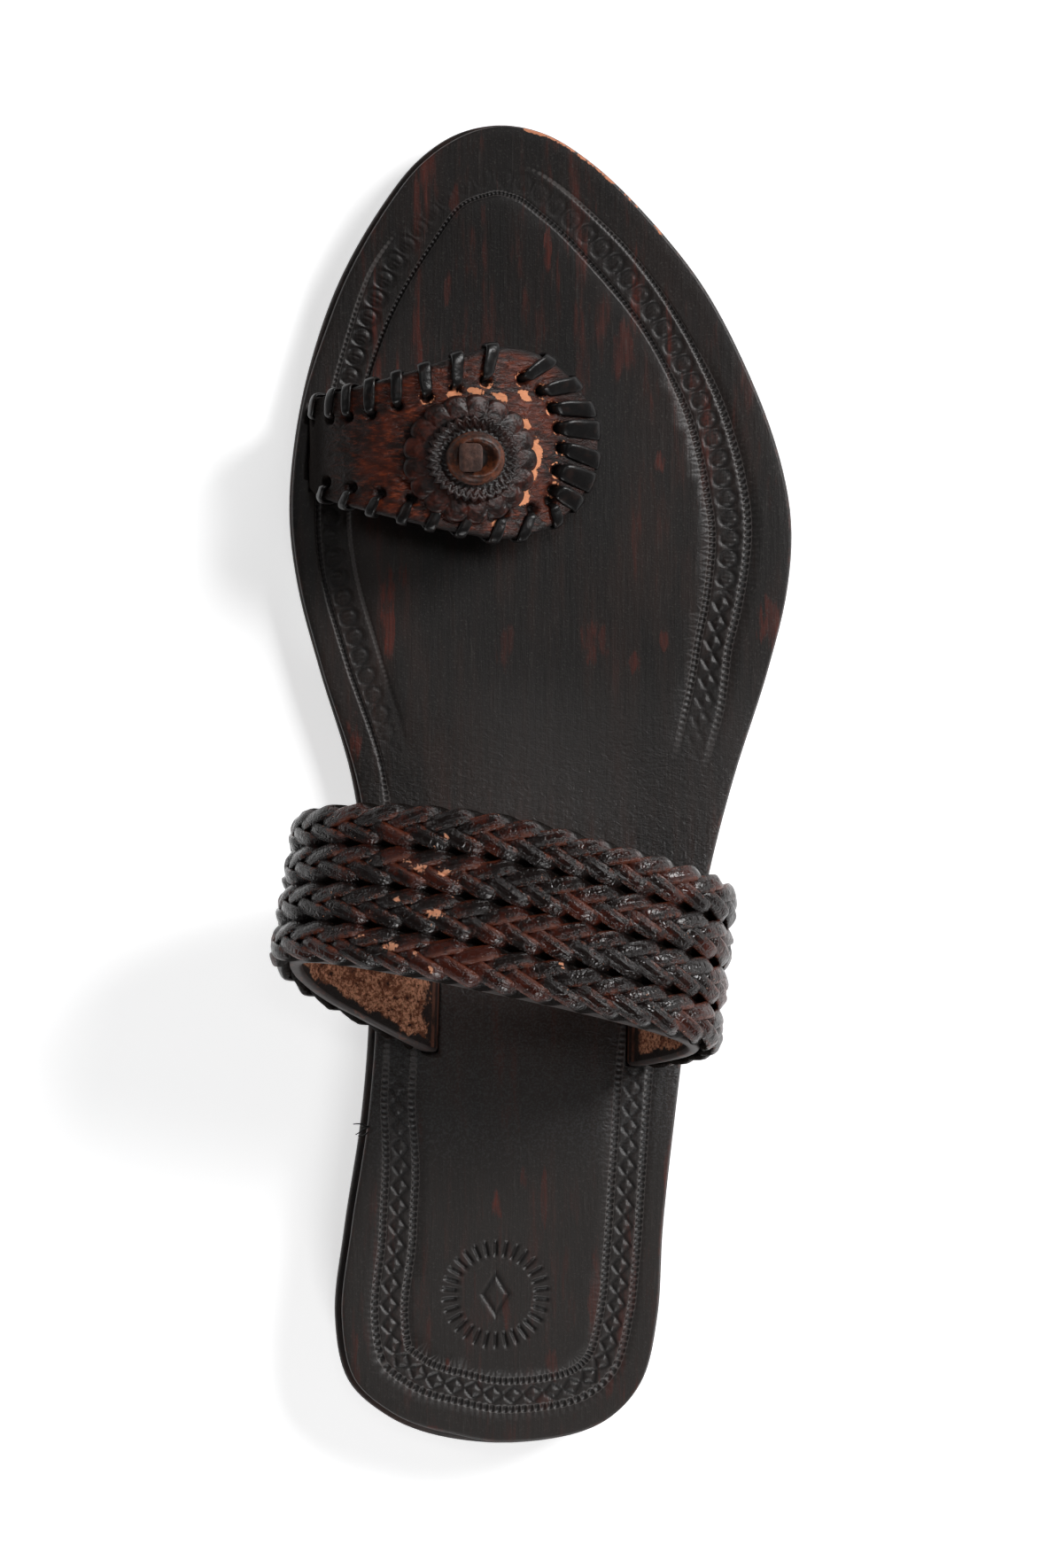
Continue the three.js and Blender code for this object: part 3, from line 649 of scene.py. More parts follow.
def stampDepth(u, total, d, mark):
    # how deep the tools press at run u and distance d from the edge
    look = insoleLook
    diamond, circle = (wholeRepeats(total, look[key]) for key in ("diamondPitch", "ringPitch"))
    half = 0.68 - 0.3 * mark["fine"]
    pressed = 0
    for line in ("outer", "inner"):
        profile = np.exp(-(((d - mark[line]) / half) ** 6))
        pressed = pressed + profile * (0.1 + 0.14 * mark["fine"] + 0.4 * mark["notch"]) * mark[line + "Line"]
    b = d - (mark["outer"] + mark["inner"]) / 2 + 0.5 * mark["fine"] * mark["medialSide"]
    press = lambda gap, width: np.exp(-((gap / width) ** 2))
    du = (np.mod(u / diamond, 1) - 0.5) * diamond
    lozenge = np.abs(du) / 1.95 + np.abs(b) / 1.6
    diamonds = 0.5 * press(lozenge - 1, 0.3) - 0.12 * press(lozenge, 0.5)
    dr = (np.mod(u / circle, 1) - 0.5) * circle
    ring = np.maximum(0.48 * press(np.hypot(dr, b) - 1.72, 0.34),
                      0.34 * press(np.hypot(dr - 0.35, b) - 0.72, 0.26) * (dr > -0.2))
    middle = diamonds + (ring - diamonds) * mark["rings"]
    inside = smoothStep(mark["outer"] + 0.75, mark["outer"] + 1.1, d)
    inside = inside * (1 - smoothStep(mark["inner"] - 1.1, mark["inner"] - 0.75, d))
    return pressed, middle * inside * mark["chain"]


def makeInsole():
    look = insoleLook
    count = look["loop"]
    inset = lambda at, x: look["inset"] + smoothStep(0, 12, -x) * (
        look["medialInset"] * (1 - smoothStep(110, 160, at)) + look["toeInset"] * smoothStep(212, 232, at))
    loop, inward = outlineLoop(count, inset)
    at0, lateral = loop[:, 1], loop[:, 0] > 0
    rise = lambda at: look["step"] * smoothStep(look["stepStarts"], look["stepEnds"], at)
    mark = {key: borderAt(at0, lateral, key) for key in ("outer", "inner", "chain", "outerLine", "innerLine")}
    outer, inner = mark["outer"], mark["inner"]
    middle = loop + inward * ((outer + inner) / 2)[:, None]
    steps = np.linalg.norm(np.roll(middle, -1, axis=0) - middle, axis=1)
    run = np.concatenate([[0], np.cumsum(steps)[:-1]])
    mark["rings"] = np.where(lateral, smoothStep(170, 173, at0), smoothStep(140, 146, at0))
    mark["medialSide"] = np.where(lateral, 0, 1)
    # the lines are cut finer along the big-toe side and round the toe
    mark["fine"] = np.where(lateral, smoothStep(208, 240, at0), smoothStep(125, 140, at0))
    beads = np.cumsum(steps / (look["beadPitch"] - look["finer"] * mark["fine"]))
    notch = 0.5 - 0.5 * np.cos(2 * np.pi * beads * round(beads[-1]) / beads[-1])
    mark["notch"] = notch ** 0.7
    points, edges, depths, struck = [], [], [], []

    def addRing(d, z, depth=0.0, beadLine=0.0):
        spot = loop + inward * np.broadcast_to(d, count)[:, None]
        points.append(toWorld(spot[:, 0], spot[:, 1], z(spot[:, 1]) - depth))
        edges.append(np.broadcast_to(d, count))
        depths.append(np.broadcast_to(depth, count))
        struck.append(np.broadcast_to(beadLine, count))

    corner = look["corner"]
    addRing(0.4, lambda at: insoleTop(at) - sole["insole"])
    addRing(0.0, lambda at: insoleTop(at) - sole["insole"] + 0.4)
    addRing(0.0, lambda at: insoleTop(at) - corner)
    for turn in (30, 60, 90):
        c, s = math.cos(math.radians(turn)), math.sin(math.radians(turn))
        addRing(corner * (1 - c), lambda at, s=s: insoleTop(at) - corner * (1 - s))
    for f in (0.33, 0.66):
        addRing(corner + (outer - 0.9 - corner) * f, insoleTop)
    around, between = look["lineRings"], look["chainRings"]
    stamped = [outer + gap for gap in around]
    stamped += [outer + around[-1] + (inner - outer - 2 * around[-1]) * k / between for k in range(1, between)]
    stamped += [inner + gap for gap in around]
    for d in stamped:
        beadLine, chain = stampDepth(run, steps.sum(), d, mark)
        step = smoothStep(inner - 0.2, inner + 0.9, d) * rise(at0)
        addRing(d, insoleTop, beadLine + chain - step, beadLine)
    ringCount = len(points)
    flat = np.concatenate(points)
    edgeField = np.concatenate(edges)
    depthField = np.concatenate(depths)
    faces = ringFaces(ringCount, count)

    # the middle of the top: a medallion of fine rings, and loose triangles between it and the border
    heel = look["medallion"]
    sectors, hoops, reach = heel["ticks"] * heel["perTick"], heel["hoops"], heel["outer"] + heel["margin"]
    angle = np.linspace(0, 2 * np.pi, sectors, endpoint=False)
    radii = np.linspace(reach, reach / hoops, hoops)
    r, a = np.meshgrid(radii, angle, indexing="ij")
    hx, hy = heel["x"] + r * np.cos(a), heel["at"] + r * np.sin(a)
    tick = np.abs(np.mod(a / (2 * np.pi) * heel["ticks"], 1) - 0.5) * (2 * np.pi * r / heel["ticks"])
    inBand = smoothStep(heel["inner"] - 0.3, heel["inner"] + 0.1, r) * (
        1 - smoothStep(heel["outer"] - 0.1, heel["outer"] + 0.3, r))
    pressed = heel["tickDeep"] * np.exp(-((tick / heel["tickHalf"]) ** 4)) * inBand
    lozenge = np.abs(r * np.cos(a)) / heel["lozengeHalfWide"] + np.abs(r * np.sin(a)) / heel["lozengeHalfLong"]
    pressed += heel["lozengeDeep"] * np.exp(-(((lozenge - 1) / 0.2) ** 2))
    hoopPoints = toWorld(hx, hy, insoleTop(hy) - pressed).reshape(-1, 3)
    hoopStart = len(flat)
    faces += ringFaces(hoops, sectors, hoopStart)
    centre = hoopStart + len(hoopPoints)
    lastHoop = centre - sectors
    faces += [(centre, lastHoop + i, lastHoop + (i + 1) % sectors) for i in range(sectors)]
    heart = toWorld(np.array([heel["x"]]), np.array([heel["at"]]), insoleTop(np.array([heel["at"]])))
    innerLoop = np.arange((ringCount - 1) * count, ringCount * count)
    outerHoop = np.arange(hoopStart, hoopStart + sectors)
    flat = np.concatenate([flat, hoopPoints, heart])
    depthField = np.concatenate([depthField, pressed.ravel()])
    flat = fillPlan(flat, faces, innerLoop, outerHoop, look["topSpacing"],
                    lambda at: insoleTop(at) + rise(at), heel, reach)
    flat = fillPlan(flat, faces, np.arange(count), None, look["underSpacing"],
                    lambda at: insoleTop(at) - sole["insole"], None, 0, under=True)
    edgeField = padded(edgeField, len(flat), look["farInside"])
    depthField = padded(depthField, len(flat), 0.0)
    piece = makePiece("insoleTopped", flat, faceOut(flat, faces), [insoleLeather],
                      fields={"edge": np.stack([edgeField, np.maximum(depthField, 0)], axis=1),
                              "struck": padded(np.concatenate(struck), len(flat), 0.0)})
    cutSlots(piece)
    return piece


def padded(values, count, value):
    return np.concatenate([values, np.full(count - len(values), value)])


def fillPlan(flat, faces, outerLoop, holeLoop, spacing, height, hole, reach, under=False):
    # closes the plan inside a loop with even triangles, leaving a round hole if one is given
    rim = flat[outerLoop][:, :2]
    ring = [Vector(p) for p in rim.tolist()]
    edges = [(i, (i + 1) % len(ring)) for i in range(len(ring))]
    indices = list(outerLoop)
    if holeLoop is not None:
        start = len(ring)
        ring += [Vector(p) for p in flat[holeLoop][:, :2].tolist()]
        edges += [(start + i, start + (i + 1) % len(holeLoop)) for i in range(len(holeLoop))]
        indices += list(holeLoop)
    low, high = rim.min(axis=0), rim.max(axis=0)
    gridX, gridY = np.meshgrid(np.arange(low[0], high[0], spacing), np.arange(low[1], high[1], spacing))
    grid = np.stack([gridX.ravel(), gridY.ravel()], axis=1)
    if hole is not None:
        away = np.hypot(grid[:, 0] - hole["x"], grid[:, 1] + seatY - hole["at"])
        grid = grid[away > reach + 0.8]
    near = rim[:: max(1, len(rim) // 400)]
    gaps = np.sqrt(((grid[:, None, :] - near[None, :, :]) ** 2).sum(axis=2)).min(axis=1)
    grid = grid[gaps > spacing * 0.5]
    ring += [Vector(p) for p in grid.tolist()]
    out = geometry.delaunay_2d_cdt(ring, edges, [], 1, 1e-5)
    made, triangles, sources = out[0], out[2], out[3]
    fresh = []
    lookup = []
    base = len(flat)
    for i, spot in enumerate(made):
        source = [k for k in sources[i] if k < len(indices)]
        if source:
            lookup.append(int(indices[source[0]]))
        else:
            lookup.append(base + len(fresh))
            fresh.append((spot.x, spot.y, float(height(spot.y + seatY))))
    for triangle in triangles:
        middle = sum((made[k] for k in triangle), Vector((0, 0))) / 3
        if hole is not None and math.hypot(middle.x - hole["x"], middle.y + seatY - hole["at"]) < reach - 0.01:
            continue
        face = tuple(lookup[k] for k in triangle)
        faces.append(tuple(reversed(face)) if under else face)
    return np.concatenate([flat, np.array(fresh)])


def slotPrism(name, start, end, wide, over):
    # an upright block through the insole, longer at each end by over
    run = np.array(end) - np.array(start)
    length = np.linalg.norm(run)
    run = run / length
    side = np.array([-run[1], run[0]])
    corners = []
    for z in (-5.0, 40.0):
        for a, b in ((-1, -1), (1, -1), (1, 1), (-1, 1)):
            base = (np.array(start) + np.array(end)) / 2 + run * a * (length / 2 + over) + side * b * wide / 2
            corners.append((base[0], base[1] - seatY, z))
    faces = [(0, 3, 2, 1), (4, 5, 6, 7), (0, 1, 5, 4), (1, 2, 6, 5), (2, 3, 7, 6), (3, 0, 4, 7)]
    return makePiece(name, np.array(corners), faces, [insoleLeather], smooth=False)


slotLook = {"clear": 0.3, "band": 2.6, "strap": 2.6, "thong": (-7.5, 200.6, 3.2, 2.8)}


def cutSlots(piece):
    clear = slotLook["clear"]
    cuts = []
    for i, end in enumerate((0, -1)):
        start = (bandTable["heelX"][end], bandTable["heelAt"][end])
        stop = (bandTable["toeX"][end], bandTable["toeAt"][end])
        cuts.append(slotPrism(f"slot{i}", start, stop, slotLook["band"] + 2 * clear, clear))
    x = strapTable["x"][0]
    start = (x, strapAxis - strapTable["heelward"][0])
    stop = (x, strapAxis + strapTable["toeward"][0])
    cuts.append(slotPrism("slot2", start, stop, slotLook["strap"] + 2 * clear, clear))
    x, at, half, thick = slotLook["thong"]
    cuts.append(slotPrism("slot3", (x, at - half), (x, at + half), thick + 2 * clear, clear))
    for cut in cuts:
        boolean = piece.modifiers.new(cut.name, "BOOLEAN")
        boolean.operation, boolean.object, boolean.solver = "DIFFERENCE", cut, "EXACT"
    shown = bpy.context.evaluated_depsgraph_get()
    shown.update()
    mesh = bpy.data.meshes.new_from_object(piece.evaluated_get(shown))
    piece.modifiers.clear()
    old = piece.data
    piece.data = mesh
    bpy.data.meshes.remove(old)
    for cut in cuts:
        data = cut.data
        bpy.data.objects.remove(cut)
        bpy.data.meshes.remove(data)


print("insole")
insolePiece = makeInsole()
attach(insolePiece, "root")
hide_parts("insole")


layerLook = {
    "stations": 150,
    "outsoleCorner": 0.9,
    "liftInset": 0.9,
    "liftCorner": 0.7,
    "outlinePoints": 1600,
    "endGap": 0.05,  # the first and last stations stand this far inside the outline's ends
}


cornerTurns = [math.radians(k) for k in (0, 30, 60, 90)]


def edgeX(side, at):
    return np.interp(at, side[:, 1], side[:, 0])


def makeLayer(name, insetAt, low, high, corner, material, stopAt=None):
    loop = outlineLoop(layerLook["outlinePoints"], insetAt)[0]
    top = int(np.argmax(loop[:, 1]))
    bottom = int(np.argmin(loop[:, 1]))
    order = np.roll(np.arange(len(loop)), -bottom)
    reach = (top - bottom) % len(loop)
    lateral = loop[order[: reach + 1]]
    medial = np.vstack([loop[order[reach:]], loop[order[:1]]])[::-1]
    lateral = lateral[np.argsort(lateral[:, 1], kind="stable")]
    medial = medial[np.argsort(medial[:, 1], kind="stable")]
    first = loop[:, 1].min() + layerLook["endGap"]
    last = stopAt if stopAt else loop[:, 1].max() - layerLook["endGap"]
    sweep = math.pi / 2 if stopAt else math.pi
    count = layerLook["stations"]
    turn = np.linspace(0, sweep, count)
    at = first + (last - first) * (1 - np.cos(turn)) / (1 - math.cos(sweep))
    left, right = edgeX(medial, at), edgeX(lateral, at)
    lowZ, highZ = low(at), high(at)
    room = np.minimum(corner, (right - left) * 0.2)
    bends = [(1 - math.sin(k), 1 - math.cos(k)) for k in cornerTurns]  # from the flat to the side
    flats = [left + room + (right - left - 2 * room) * f for f in (0.75, 0.5, 0.25)]
    sides = [lowZ + corner + (highZ - lowZ - 2 * corner) * f for f in (0.33, 0.66)]
    profile = [(right - room * inX, lowZ + corner * inZ) for inX, inZ in bends]
    profile += [(right, z) for z in sides]
    profile += [(right - room * inX, highZ - corner * inZ) for inX, inZ in bends[::-1]]
    profile += [(x, highZ) for x in flats]
    profile += [(left + room * inX, highZ - corner * inZ) for inX, inZ in bends]
    profile += [(left, z) for z in sides[::-1]]
    profile += [(left + room * inX, lowZ + corner * inZ) for inX, inZ in bends[::-1]]
    profile += [(x, lowZ) for x in flats[::-1]]
    rings = np.stack([toWorld(x, at, z) for x, z in profile], axis=1)
    points = rings.reshape(-1, 3)
    faces = ringFaces(count, len(profile))
    faces.append(tuple(range(len(profile)))[::-1])
    faces.append(tuple((count - 1) * len(profile) + i for i in range(len(profile))))
    return makePiece(name, points, faceOut(points, faces), [material])


print("outsole and heel lift")
outsolePiece = makeLayer("outsoleShaped", lambda at, x: 0 * at, soleRise,
                         lambda at: soleRise(at) + sole["outsole"], layerLook["outsoleCorner"], soleLeather)
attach(outsolePiece, "root")
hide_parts("outsole")
liftPiece = makeLayer("heelLiftShaped", lambda at, x: layerLook["liftInset"] + 0 * at,
                      lambda at: np.zeros(len(at)), lambda at: np.full(len(at), sole["heelLift"]),
                      layerLook["liftCorner"], liftLeather, stopAt=sole["heelLiftLength"])
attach(liftPiece, "root")
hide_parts("heel_lift")


bandLook = {"stations": 220, "columns": 26, "thick": 2.6, "corner": 0.8}


def makeSheet(surface, look, stations):
    # rings round the sheet's section: the outer face from edge to edge, then the inner face back
    corner, half, columns = look["corner"], look["thick"] / 2, look["columns"]
    width = np.linalg.norm(surface(1.0, stations) - surface(0.0, stations), axis=-1)
    bends = [(corner * (1 - math.sin(k)), half - corner * (1 - math.cos(k))) for k in cornerTurns[::-1]]
    outer = [("low", *bend) for bend in bends]
    outer += [("flat", i / columns, half) for i in range(1, columns)]
    outer += [("high", *bend) for bend in bends[::-1]]
    spots = [(*spot, 1) for spot in outer] + [(kind, value, -height, -1) for kind, value, height in outer[::-1]]
    rings, margins = [], []
    for kind, value, height, _ in spots:
        across = {"low": value / width, "high": 1 - value / width,
                  "flat": corner / width + (1 - 2 * corner / width) * value}[kind]
        rings.append(surface(across, stations) + outward(surface, across, stations) * height)
        margins.append(np.minimum(across, 1 - across) * width)
    return np.stack(rings, axis=1), np.stack(margins, axis=1), spots


def makeBand():
    look = bandLook
    stations = np.linspace(0, 1, look["stations"])
    rings, margins, spots = makeSheet(bandSurface, look, stations)
    points, faces = loft(rings)
    length = runAlong(bandSurface(0.5, stations))
    fromSlot = np.minimum(length, length[-1] - length)
    fields = np.stack([margins, np.broadcast_to(fromSlot[:, None], margins.shape)], axis=2).reshape(-1, 2)
    pairs = zip(spots, spots[1:] + spots[:1])
    raw = [a[3] < 0 and b[3] < 0 and "flat" in (a[0], b[0]) for a, b in pairs]  # the flesh side
    slots = [0 if bare else 1 for bare in raw] * (look["stations"] - 1)
    slots += [1] * (len(faces) - len(slots))
    return makePiece("instepBandLeather", points, faceOut(points, faces), [suede, bandEdge], slots,
                     {"edge": fields})


print("instep band")
bandPiece = makeBand()
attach(bandPiece, "root")
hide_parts("instep_band")


braidLook = {
    "count": 4,
    "strands": 5,
    "period": 34.5,  # run of one strand before it comes back to its side
    "swing": 3.25,
    "fold": 0.95,  # nearer 1 the strands run straighter and turn sharper
    "heave": 1.0,
    "snap": 2.0,  # how quickly a strand changes from under to over
    "halfWide": 1.92,
    "halfThick": 0.94,
    "sides": 14,
    "perPeriod": 64,
    "roll": 34.0,  # degrees that a strand leans at the braid's edges
    "fullWidth": 9.1,
    "widest": 1.06,  # past this share of its full width a braid spreads no more
    "stagger": 0.13,  # of a period, from one braid to the next
    "square": (0.85, 0.55),  # under 1 a lace is flatter than an ellipse
    "uneven": 0.07,
    "dents": ((0.15, 1.7, 5.0), (0.05, 0.7, 9.0)),  # height, size and noise seed
    "inset": 0.045,
    "samples": 1200,
    "lift": 0.3,
}
braidPeels = [  # spots rubbed down to the tan leather: place in plan, half length and half width
    (-20.3, 120.2, 0.7, 0.4), (-18.0, 119.0, 1.0, 0.6), (-13.2, 118.2, 1.1, 0.5), (-10.6, 117.0, 0.4, 0.4),
    (-12.8, 125.4, 0.7, 0.4), (-22.8, 112.8, 0.6, 0.4), (-15.2, 110.2, 1.5, 0.7), (-29.6, 105.7, 0.6, 0.4),
    (-23.8, 103.8, 1.4, 0.7), (-19.0, 102.5, 0.6, 0.4), (-16.1, 99.5, 1.0, 0.4), (9.8, 100.2, 0.6, 0.4),
]


def makeBraid(place):
    look = braidLook
    middle = (place + 0.5) / look["count"]
    t = np.linspace(look["inset"], 1 - look["inset"], look["samples"])
    lift = bandLook["thick"] / 2 + look["lift"] + look["heave"] + look["halfThick"]
    centre = bandSurface(middle, t) + outward(bandSurface, middle, t) * lift
    length = runAlong(centre)
    steps = int(length[-1] / look["period"] * look["perPeriod"])
    run = np.linspace(0, length[-1], steps)
    t = np.interp(run, length, t)
    width = np.linalg.norm(bandSurface(1.0, t) - bandSurface(0.0, t), axis=-1)
    room = np.minimum(width / look["count"] / look["fullWidth"], look["widest"])
    normal = outward(bandSurface, middle, t)
    sideways = unit(bandSurface(middle + 0.01, t) - bandSurface(middle - 0.01, t))
    base = bandSurface(middle, t) + normal * lift
    c, s = section(look["sides"], *look["square"])
    strands, strandField, crownField = [], [], []
    for strand in range(look["strands"]):
        phase = 2 * np.pi * (run / look["period"] + strand / look["strands"] + place * look["stagger"])
        wave = np.arcsin(look["fold"] * np.sin(phase)) / math.asin(look["fold"])
        swing = look["swing"] * room * wave
        heave = look["heave"] * np.tanh(look["snap"] * np.sin(2 * phase)) / math.tanh(look["snap"])
        path = base + sideways * swing[:, None] + normal * heave[:, None]
        forward = unit(np.gradient(path, axis=0))
        lean = np.radians(look["roll"]) * wave
        up = normal * np.cos(lean)[:, None] + sideways * np.sin(lean)[:, None]
        up = unit(up - forward * np.sum(up * forward, axis=1, keepdims=True))
        across = np.cross(forward, up)
        vary = 1 + look["uneven"] * wobble(path, 4.0, place * 3.1 + strand)
        wide = look["halfWide"] * np.minimum(room, 1.0) * vary
        ring = sweep(path, across, up, np.outer(wide, c), np.outer(np.full(steps, look["halfThick"]), s))
        dents = sum(deep * wobble(ring, size, strand + seed) for deep, size, seed in look["dents"])
        ring = ring + up[:, None, :] * dents[:, :, None]
        strands.append(ring)
        flank = np.broadcast_to(np.abs(c), (steps, look["sides"]))
        along = np.broadcast_to(run[:, None], flank.shape)
        strandField.append(np.stack([flank, along], axis=2).reshape(-1, 2))
        worn = np.zeros(ring[..., 0].size)
        for x, at, long, half in braidPeels:
            gap = np.hypot((ring[..., 0] - x) / long, (ring[..., 1] + seatY - at) / half).ravel()
            worn = np.maximum(worn, 1.15 - gap * 0.6)
        crown = np.sum((ring - base[:, None, :]) * normal[:, None, :], axis=2).ravel() / look["heave"]
        crownField.append(np.stack([crown, np.clip(worn, 0, 1) * (crown > 0.2)], axis=1))
    return makePiece(f"braid{look['count'] - place}", *joinLofts(strands), [braidLeather],
                     fields={"strand": np.concatenate(strandField), "crown": np.concatenate(crownField)})


for place in range(braidLook["count"]):
    print("braid", braidLook["count"] - place)
    braidPiece = makeBraid(place)
    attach(braidPiece, "root")
    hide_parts(f"instep_braid_{braidLook['count'] - place}")


strapLook = {
    "headStarts": 0.62,  # share of the strap's run
    "bodyStations": 125,
    "headStations": 96,
    "columns": 96,
    "thick": 2.6,
    "corner": 0.9,
    "holeRadius": 1.1,
    "holeDeep": 1.7,
    "lumps": 0.22,
    "lumpSize": 5.0,
    "straightens": 0.165,  # up to here the strap stands upright out of its slot
    "laceStarts": 0.075,
}
rosette = {"x": -7.5, "at": 200.6, "large": 12.9, "small": 8.8, "button": 5.3, "disc": 1.4, "gap": 0.3,
           "dome": 2.6}
barePatches = [  # worn to tan round the rosette: angle, distance, length across, width
    (32, 13.6, 1.7, 1.1), (6, 13.9, 3.4, 1.5), (-12, 13.3, 2.0, 1.2),
    (-34, 13.4, 2.3, 1.5), (62, 14.2, 2.0, 1.0), (84, 13.8, 2.2, 0.9),
    (104, 13.6, 1.6, 0.8), (48, 17.4, 1.8, 1.0), (-66, 14.0, 1.6, 0.8),
]
strapCreases = [  # pressed lines on the strap's face: both ends in plan, bow sideways, depth and width
    (-29.5, 212, -20, 206, 0.6, 0.5, 0.6), (-26, 211, -19.2, 207.6, 0.3, 0.35, 0.5),
    (-28.5, 200.5, -17.3, 194.3, 0.6, 0.5, 0.6), (-24.5, 201.5, -17.8, 196.8, 0.4, 0.4, 0.5),
    (-31.5, 206.5, -21.5, 201.8, 0.5, 0.3, 0.7), (-33, 203.5, -26.5, 198, 0.5, 0.3, 0.7),
    (8, 213, 13, 207, 0.3, 0.3, 0.6), (7.5, 192.5, 11.5, 198, 0.3, 0.3, 0.6),
]
laceTable = [  # each stitch in plan: its hole, where it goes over the edge, and its half width
    (-37.4, 209.3, -37.2, 214.0, 1.0), (-34.3, 209.2, -34.0, 214.5, 1.05), (-31.1, 209.4, -31.1, 215.0, 1.1),
    (-26.8, 209.8, -26.8, 216.2, 1.2), (-21.7, 211.4, -21.8, 217.4, 1.2), (-15.9, 213.2, -16.5, 219.0, 1.35),
    (-10.3, 214.9, -9.8, 221.0, 1.35), (-4.4, 216.6, -3.0, 223.0, 1.45), (3.2, 217.0, 8.6, 220.9, 1.6),
    (7.0, 214.6, 14.0, 216.2, 1.7), (9.4, 211.2, 17.0, 211.0, 1.75), (10.6, 207.2, 18.3, 205.8, 2.0),
    (11.2, 203.2, 18.5, 200.8, 1.8), (10.2, 198.6, 17.8, 196.0, 2.15), (9.6, 194.6, 15.2, 191.2, 1.85),
    (9.0, 191.6, 10.6, 187.4, 1.2), (4.8, 190.0, 3.0, 184.9, 1.15), (-1.2, 189.0, -2.6, 184.6, 1.15),
    (-7.8, 189.0, -9.2, 185.4, 1.1), (-13.8, 190.2, -15.4, 186.6, 1.1), (-19.3, 191.8, -20.9, 188.0, 1.05),
    (-25.3, 193.0, -26.9, 189.6, 1.05), (-30.7, 194.2, -32.0, 191.2, 1.0), (-35.2, 195.4, -36.0, 193.0, 1.0),
]
heelSideHoles = 15  # from this stitch on, the punched holes gape beyond the lace
torePast = (5, 14)  # between these stitches the holes' rims are rubbed to tan


def strapRunAt(x):  # where the strap's run reaches a distance across the shoe
    t = np.linspace(strapLook["straightens"], 1, 400)
    return np.interp(x, alongRows(strapTable["x"], t), t)


def onStrap(x, at, height):  # a point over the strap's outer face, by its plan
    t = strapRunAt(x)
    half = strapLook["thick"] / 2
    base = toWorld(x, at, insoleTop(at) + alongRows(strapTable["up"], t))
    return base + outward(strapSurface, 0.5 + 0 * t, t) * (np.asarray(height) + half)[..., None]


def strapEdge():
    # the strap's edge from its slot along the heel side, round the head and back along the toe side
    t = np.linspace(strapLook["laceStarts"], 1, 500)
    low, high = strapSurface(0 * t, t), strapSurface(0 * t + 1, t)
    return np.concatenate([low, high[::-1][1:]]), np.concatenate([t, t[::-1][1:]])


def makeStrap():
    look = strapLook
    head = look["headStarts"]
    turn = np.linspace(0, math.pi / 2, look["headStations"])[1:]
    stations = np.concatenate([np.linspace(0, head, look["bodyStations"]), head + (1 - head) * np.sin(turn)])
    rings, margins, spots = makeSheet(strapSurface, look, stations)
    shape = margins.shape
    upper = np.array([spot[3] > 0 for spot in spots])
    faceSpots = slice(0, shape[1] // 2 + 1)
    plan = rings.reshape(-1, 3)
    dx, dy = plan[:, 0] - rosette["x"], plan[:, 1] + seatY - rosette["at"]
    worn = np.zeros(len(plan))
    for degrees, away, long, wide in barePatches:
        a = math.radians(degrees)
        px, py = away * math.cos(a), away * math.sin(a)
        along = (dx - px) * -math.sin(a) + (dy - py) * math.cos(a)
        out = (dx - px) * math.cos(a) + (dy - py) * math.sin(a)
        worn = np.maximum(worn, 1.15 - np.hypot(along / long, out / wide) * 0.75)
    worn = np.clip(worn, 0, 1).reshape(shape) * upper[None, :]
    # long creases that run from the slot side towards the rosette
    normal = outward(strapSurface, np.broadcast_to(0.5, shape), np.broadcast_to(stations[:, None], shape))
    dip = np.zeros(shape)
    planX, planY = plan[:, 0].reshape(shape), plan[:, 1].reshape(shape) + seatY
    for x0, y0, x1, y1, bend, deep, wide in strapCreases:
        f = np.clip(((planX - x0) * (x1 - x0) + (planY - y0) * (y1 - y0))
                    / ((x1 - x0) ** 2 + (y1 - y0) ** 2), 0, 1)
        bow = bend * 4 * f * (1 - f)
        gap = np.hypot(planX - (x0 + (x1 - x0) * f), planY - (y0 + (y1 - y0) * f) - bow)
        dip += deep * np.exp(-((gap / wide) ** 2)) * np.minimum(1, 6 * f * (1 - f) + 0.2)
    for i, hole in enumerate(laceHoles()):
        away = np.linalg.norm(rings - hole, axis=-1)
        if torePast[0] <= i <= torePast[1]:
            worn = np.maximum(worn, 0.52 * np.exp(-(((away - 1.5) / 0.6) ** 2)) * upper[None, :])
        dip += look["holeDeep"] * np.exp(-((away / look["holeRadius"]) ** 4))
    dip[:, faceSpots] -= look["lumps"] * wobble(rings[:, faceSpots], look["lumpSize"], 2.0)
    rings = rings - normal * (dip * upper[None, :])[:, :, None]
    points, faces = loft(rings)
    edgeDark = np.clip(1.4 - margins / 1.2, 0, 1)
    # painted shade at the slot end
    slotDark = 1 - smoothStep(0.2, 0.48, stations)[:, None]
    # painted shade in the punched holes
    holeDark = np.clip(dip, 0, 1)
    # painted shadow of the laces round the head
    headDark = 0.8 * smoothStep(8.5, 12.0, planX)
    dim = np.clip(np.maximum.reduce([edgeDark, np.broadcast_to(slotDark, shape), holeDark, headDark]), 0, 1)
    dim = np.where(upper[None, :], dim, 0.9)
    fields = np.stack([worn, dim], axis=2).reshape(-1, 2)
    # painted shade: near-black matte laid over the slot end
    paintedShadeMatte = np.broadcast_to(0.95 * (1 - smoothStep(0.22, 0.42, stations))[:, None], shape).ravel()
    return makePiece("toeStrapLeather", points, faceOut(points, faces), [strapLeather],
                     fields={"wear": fields, "paintedShadeMatte": paintedShadeMatte})


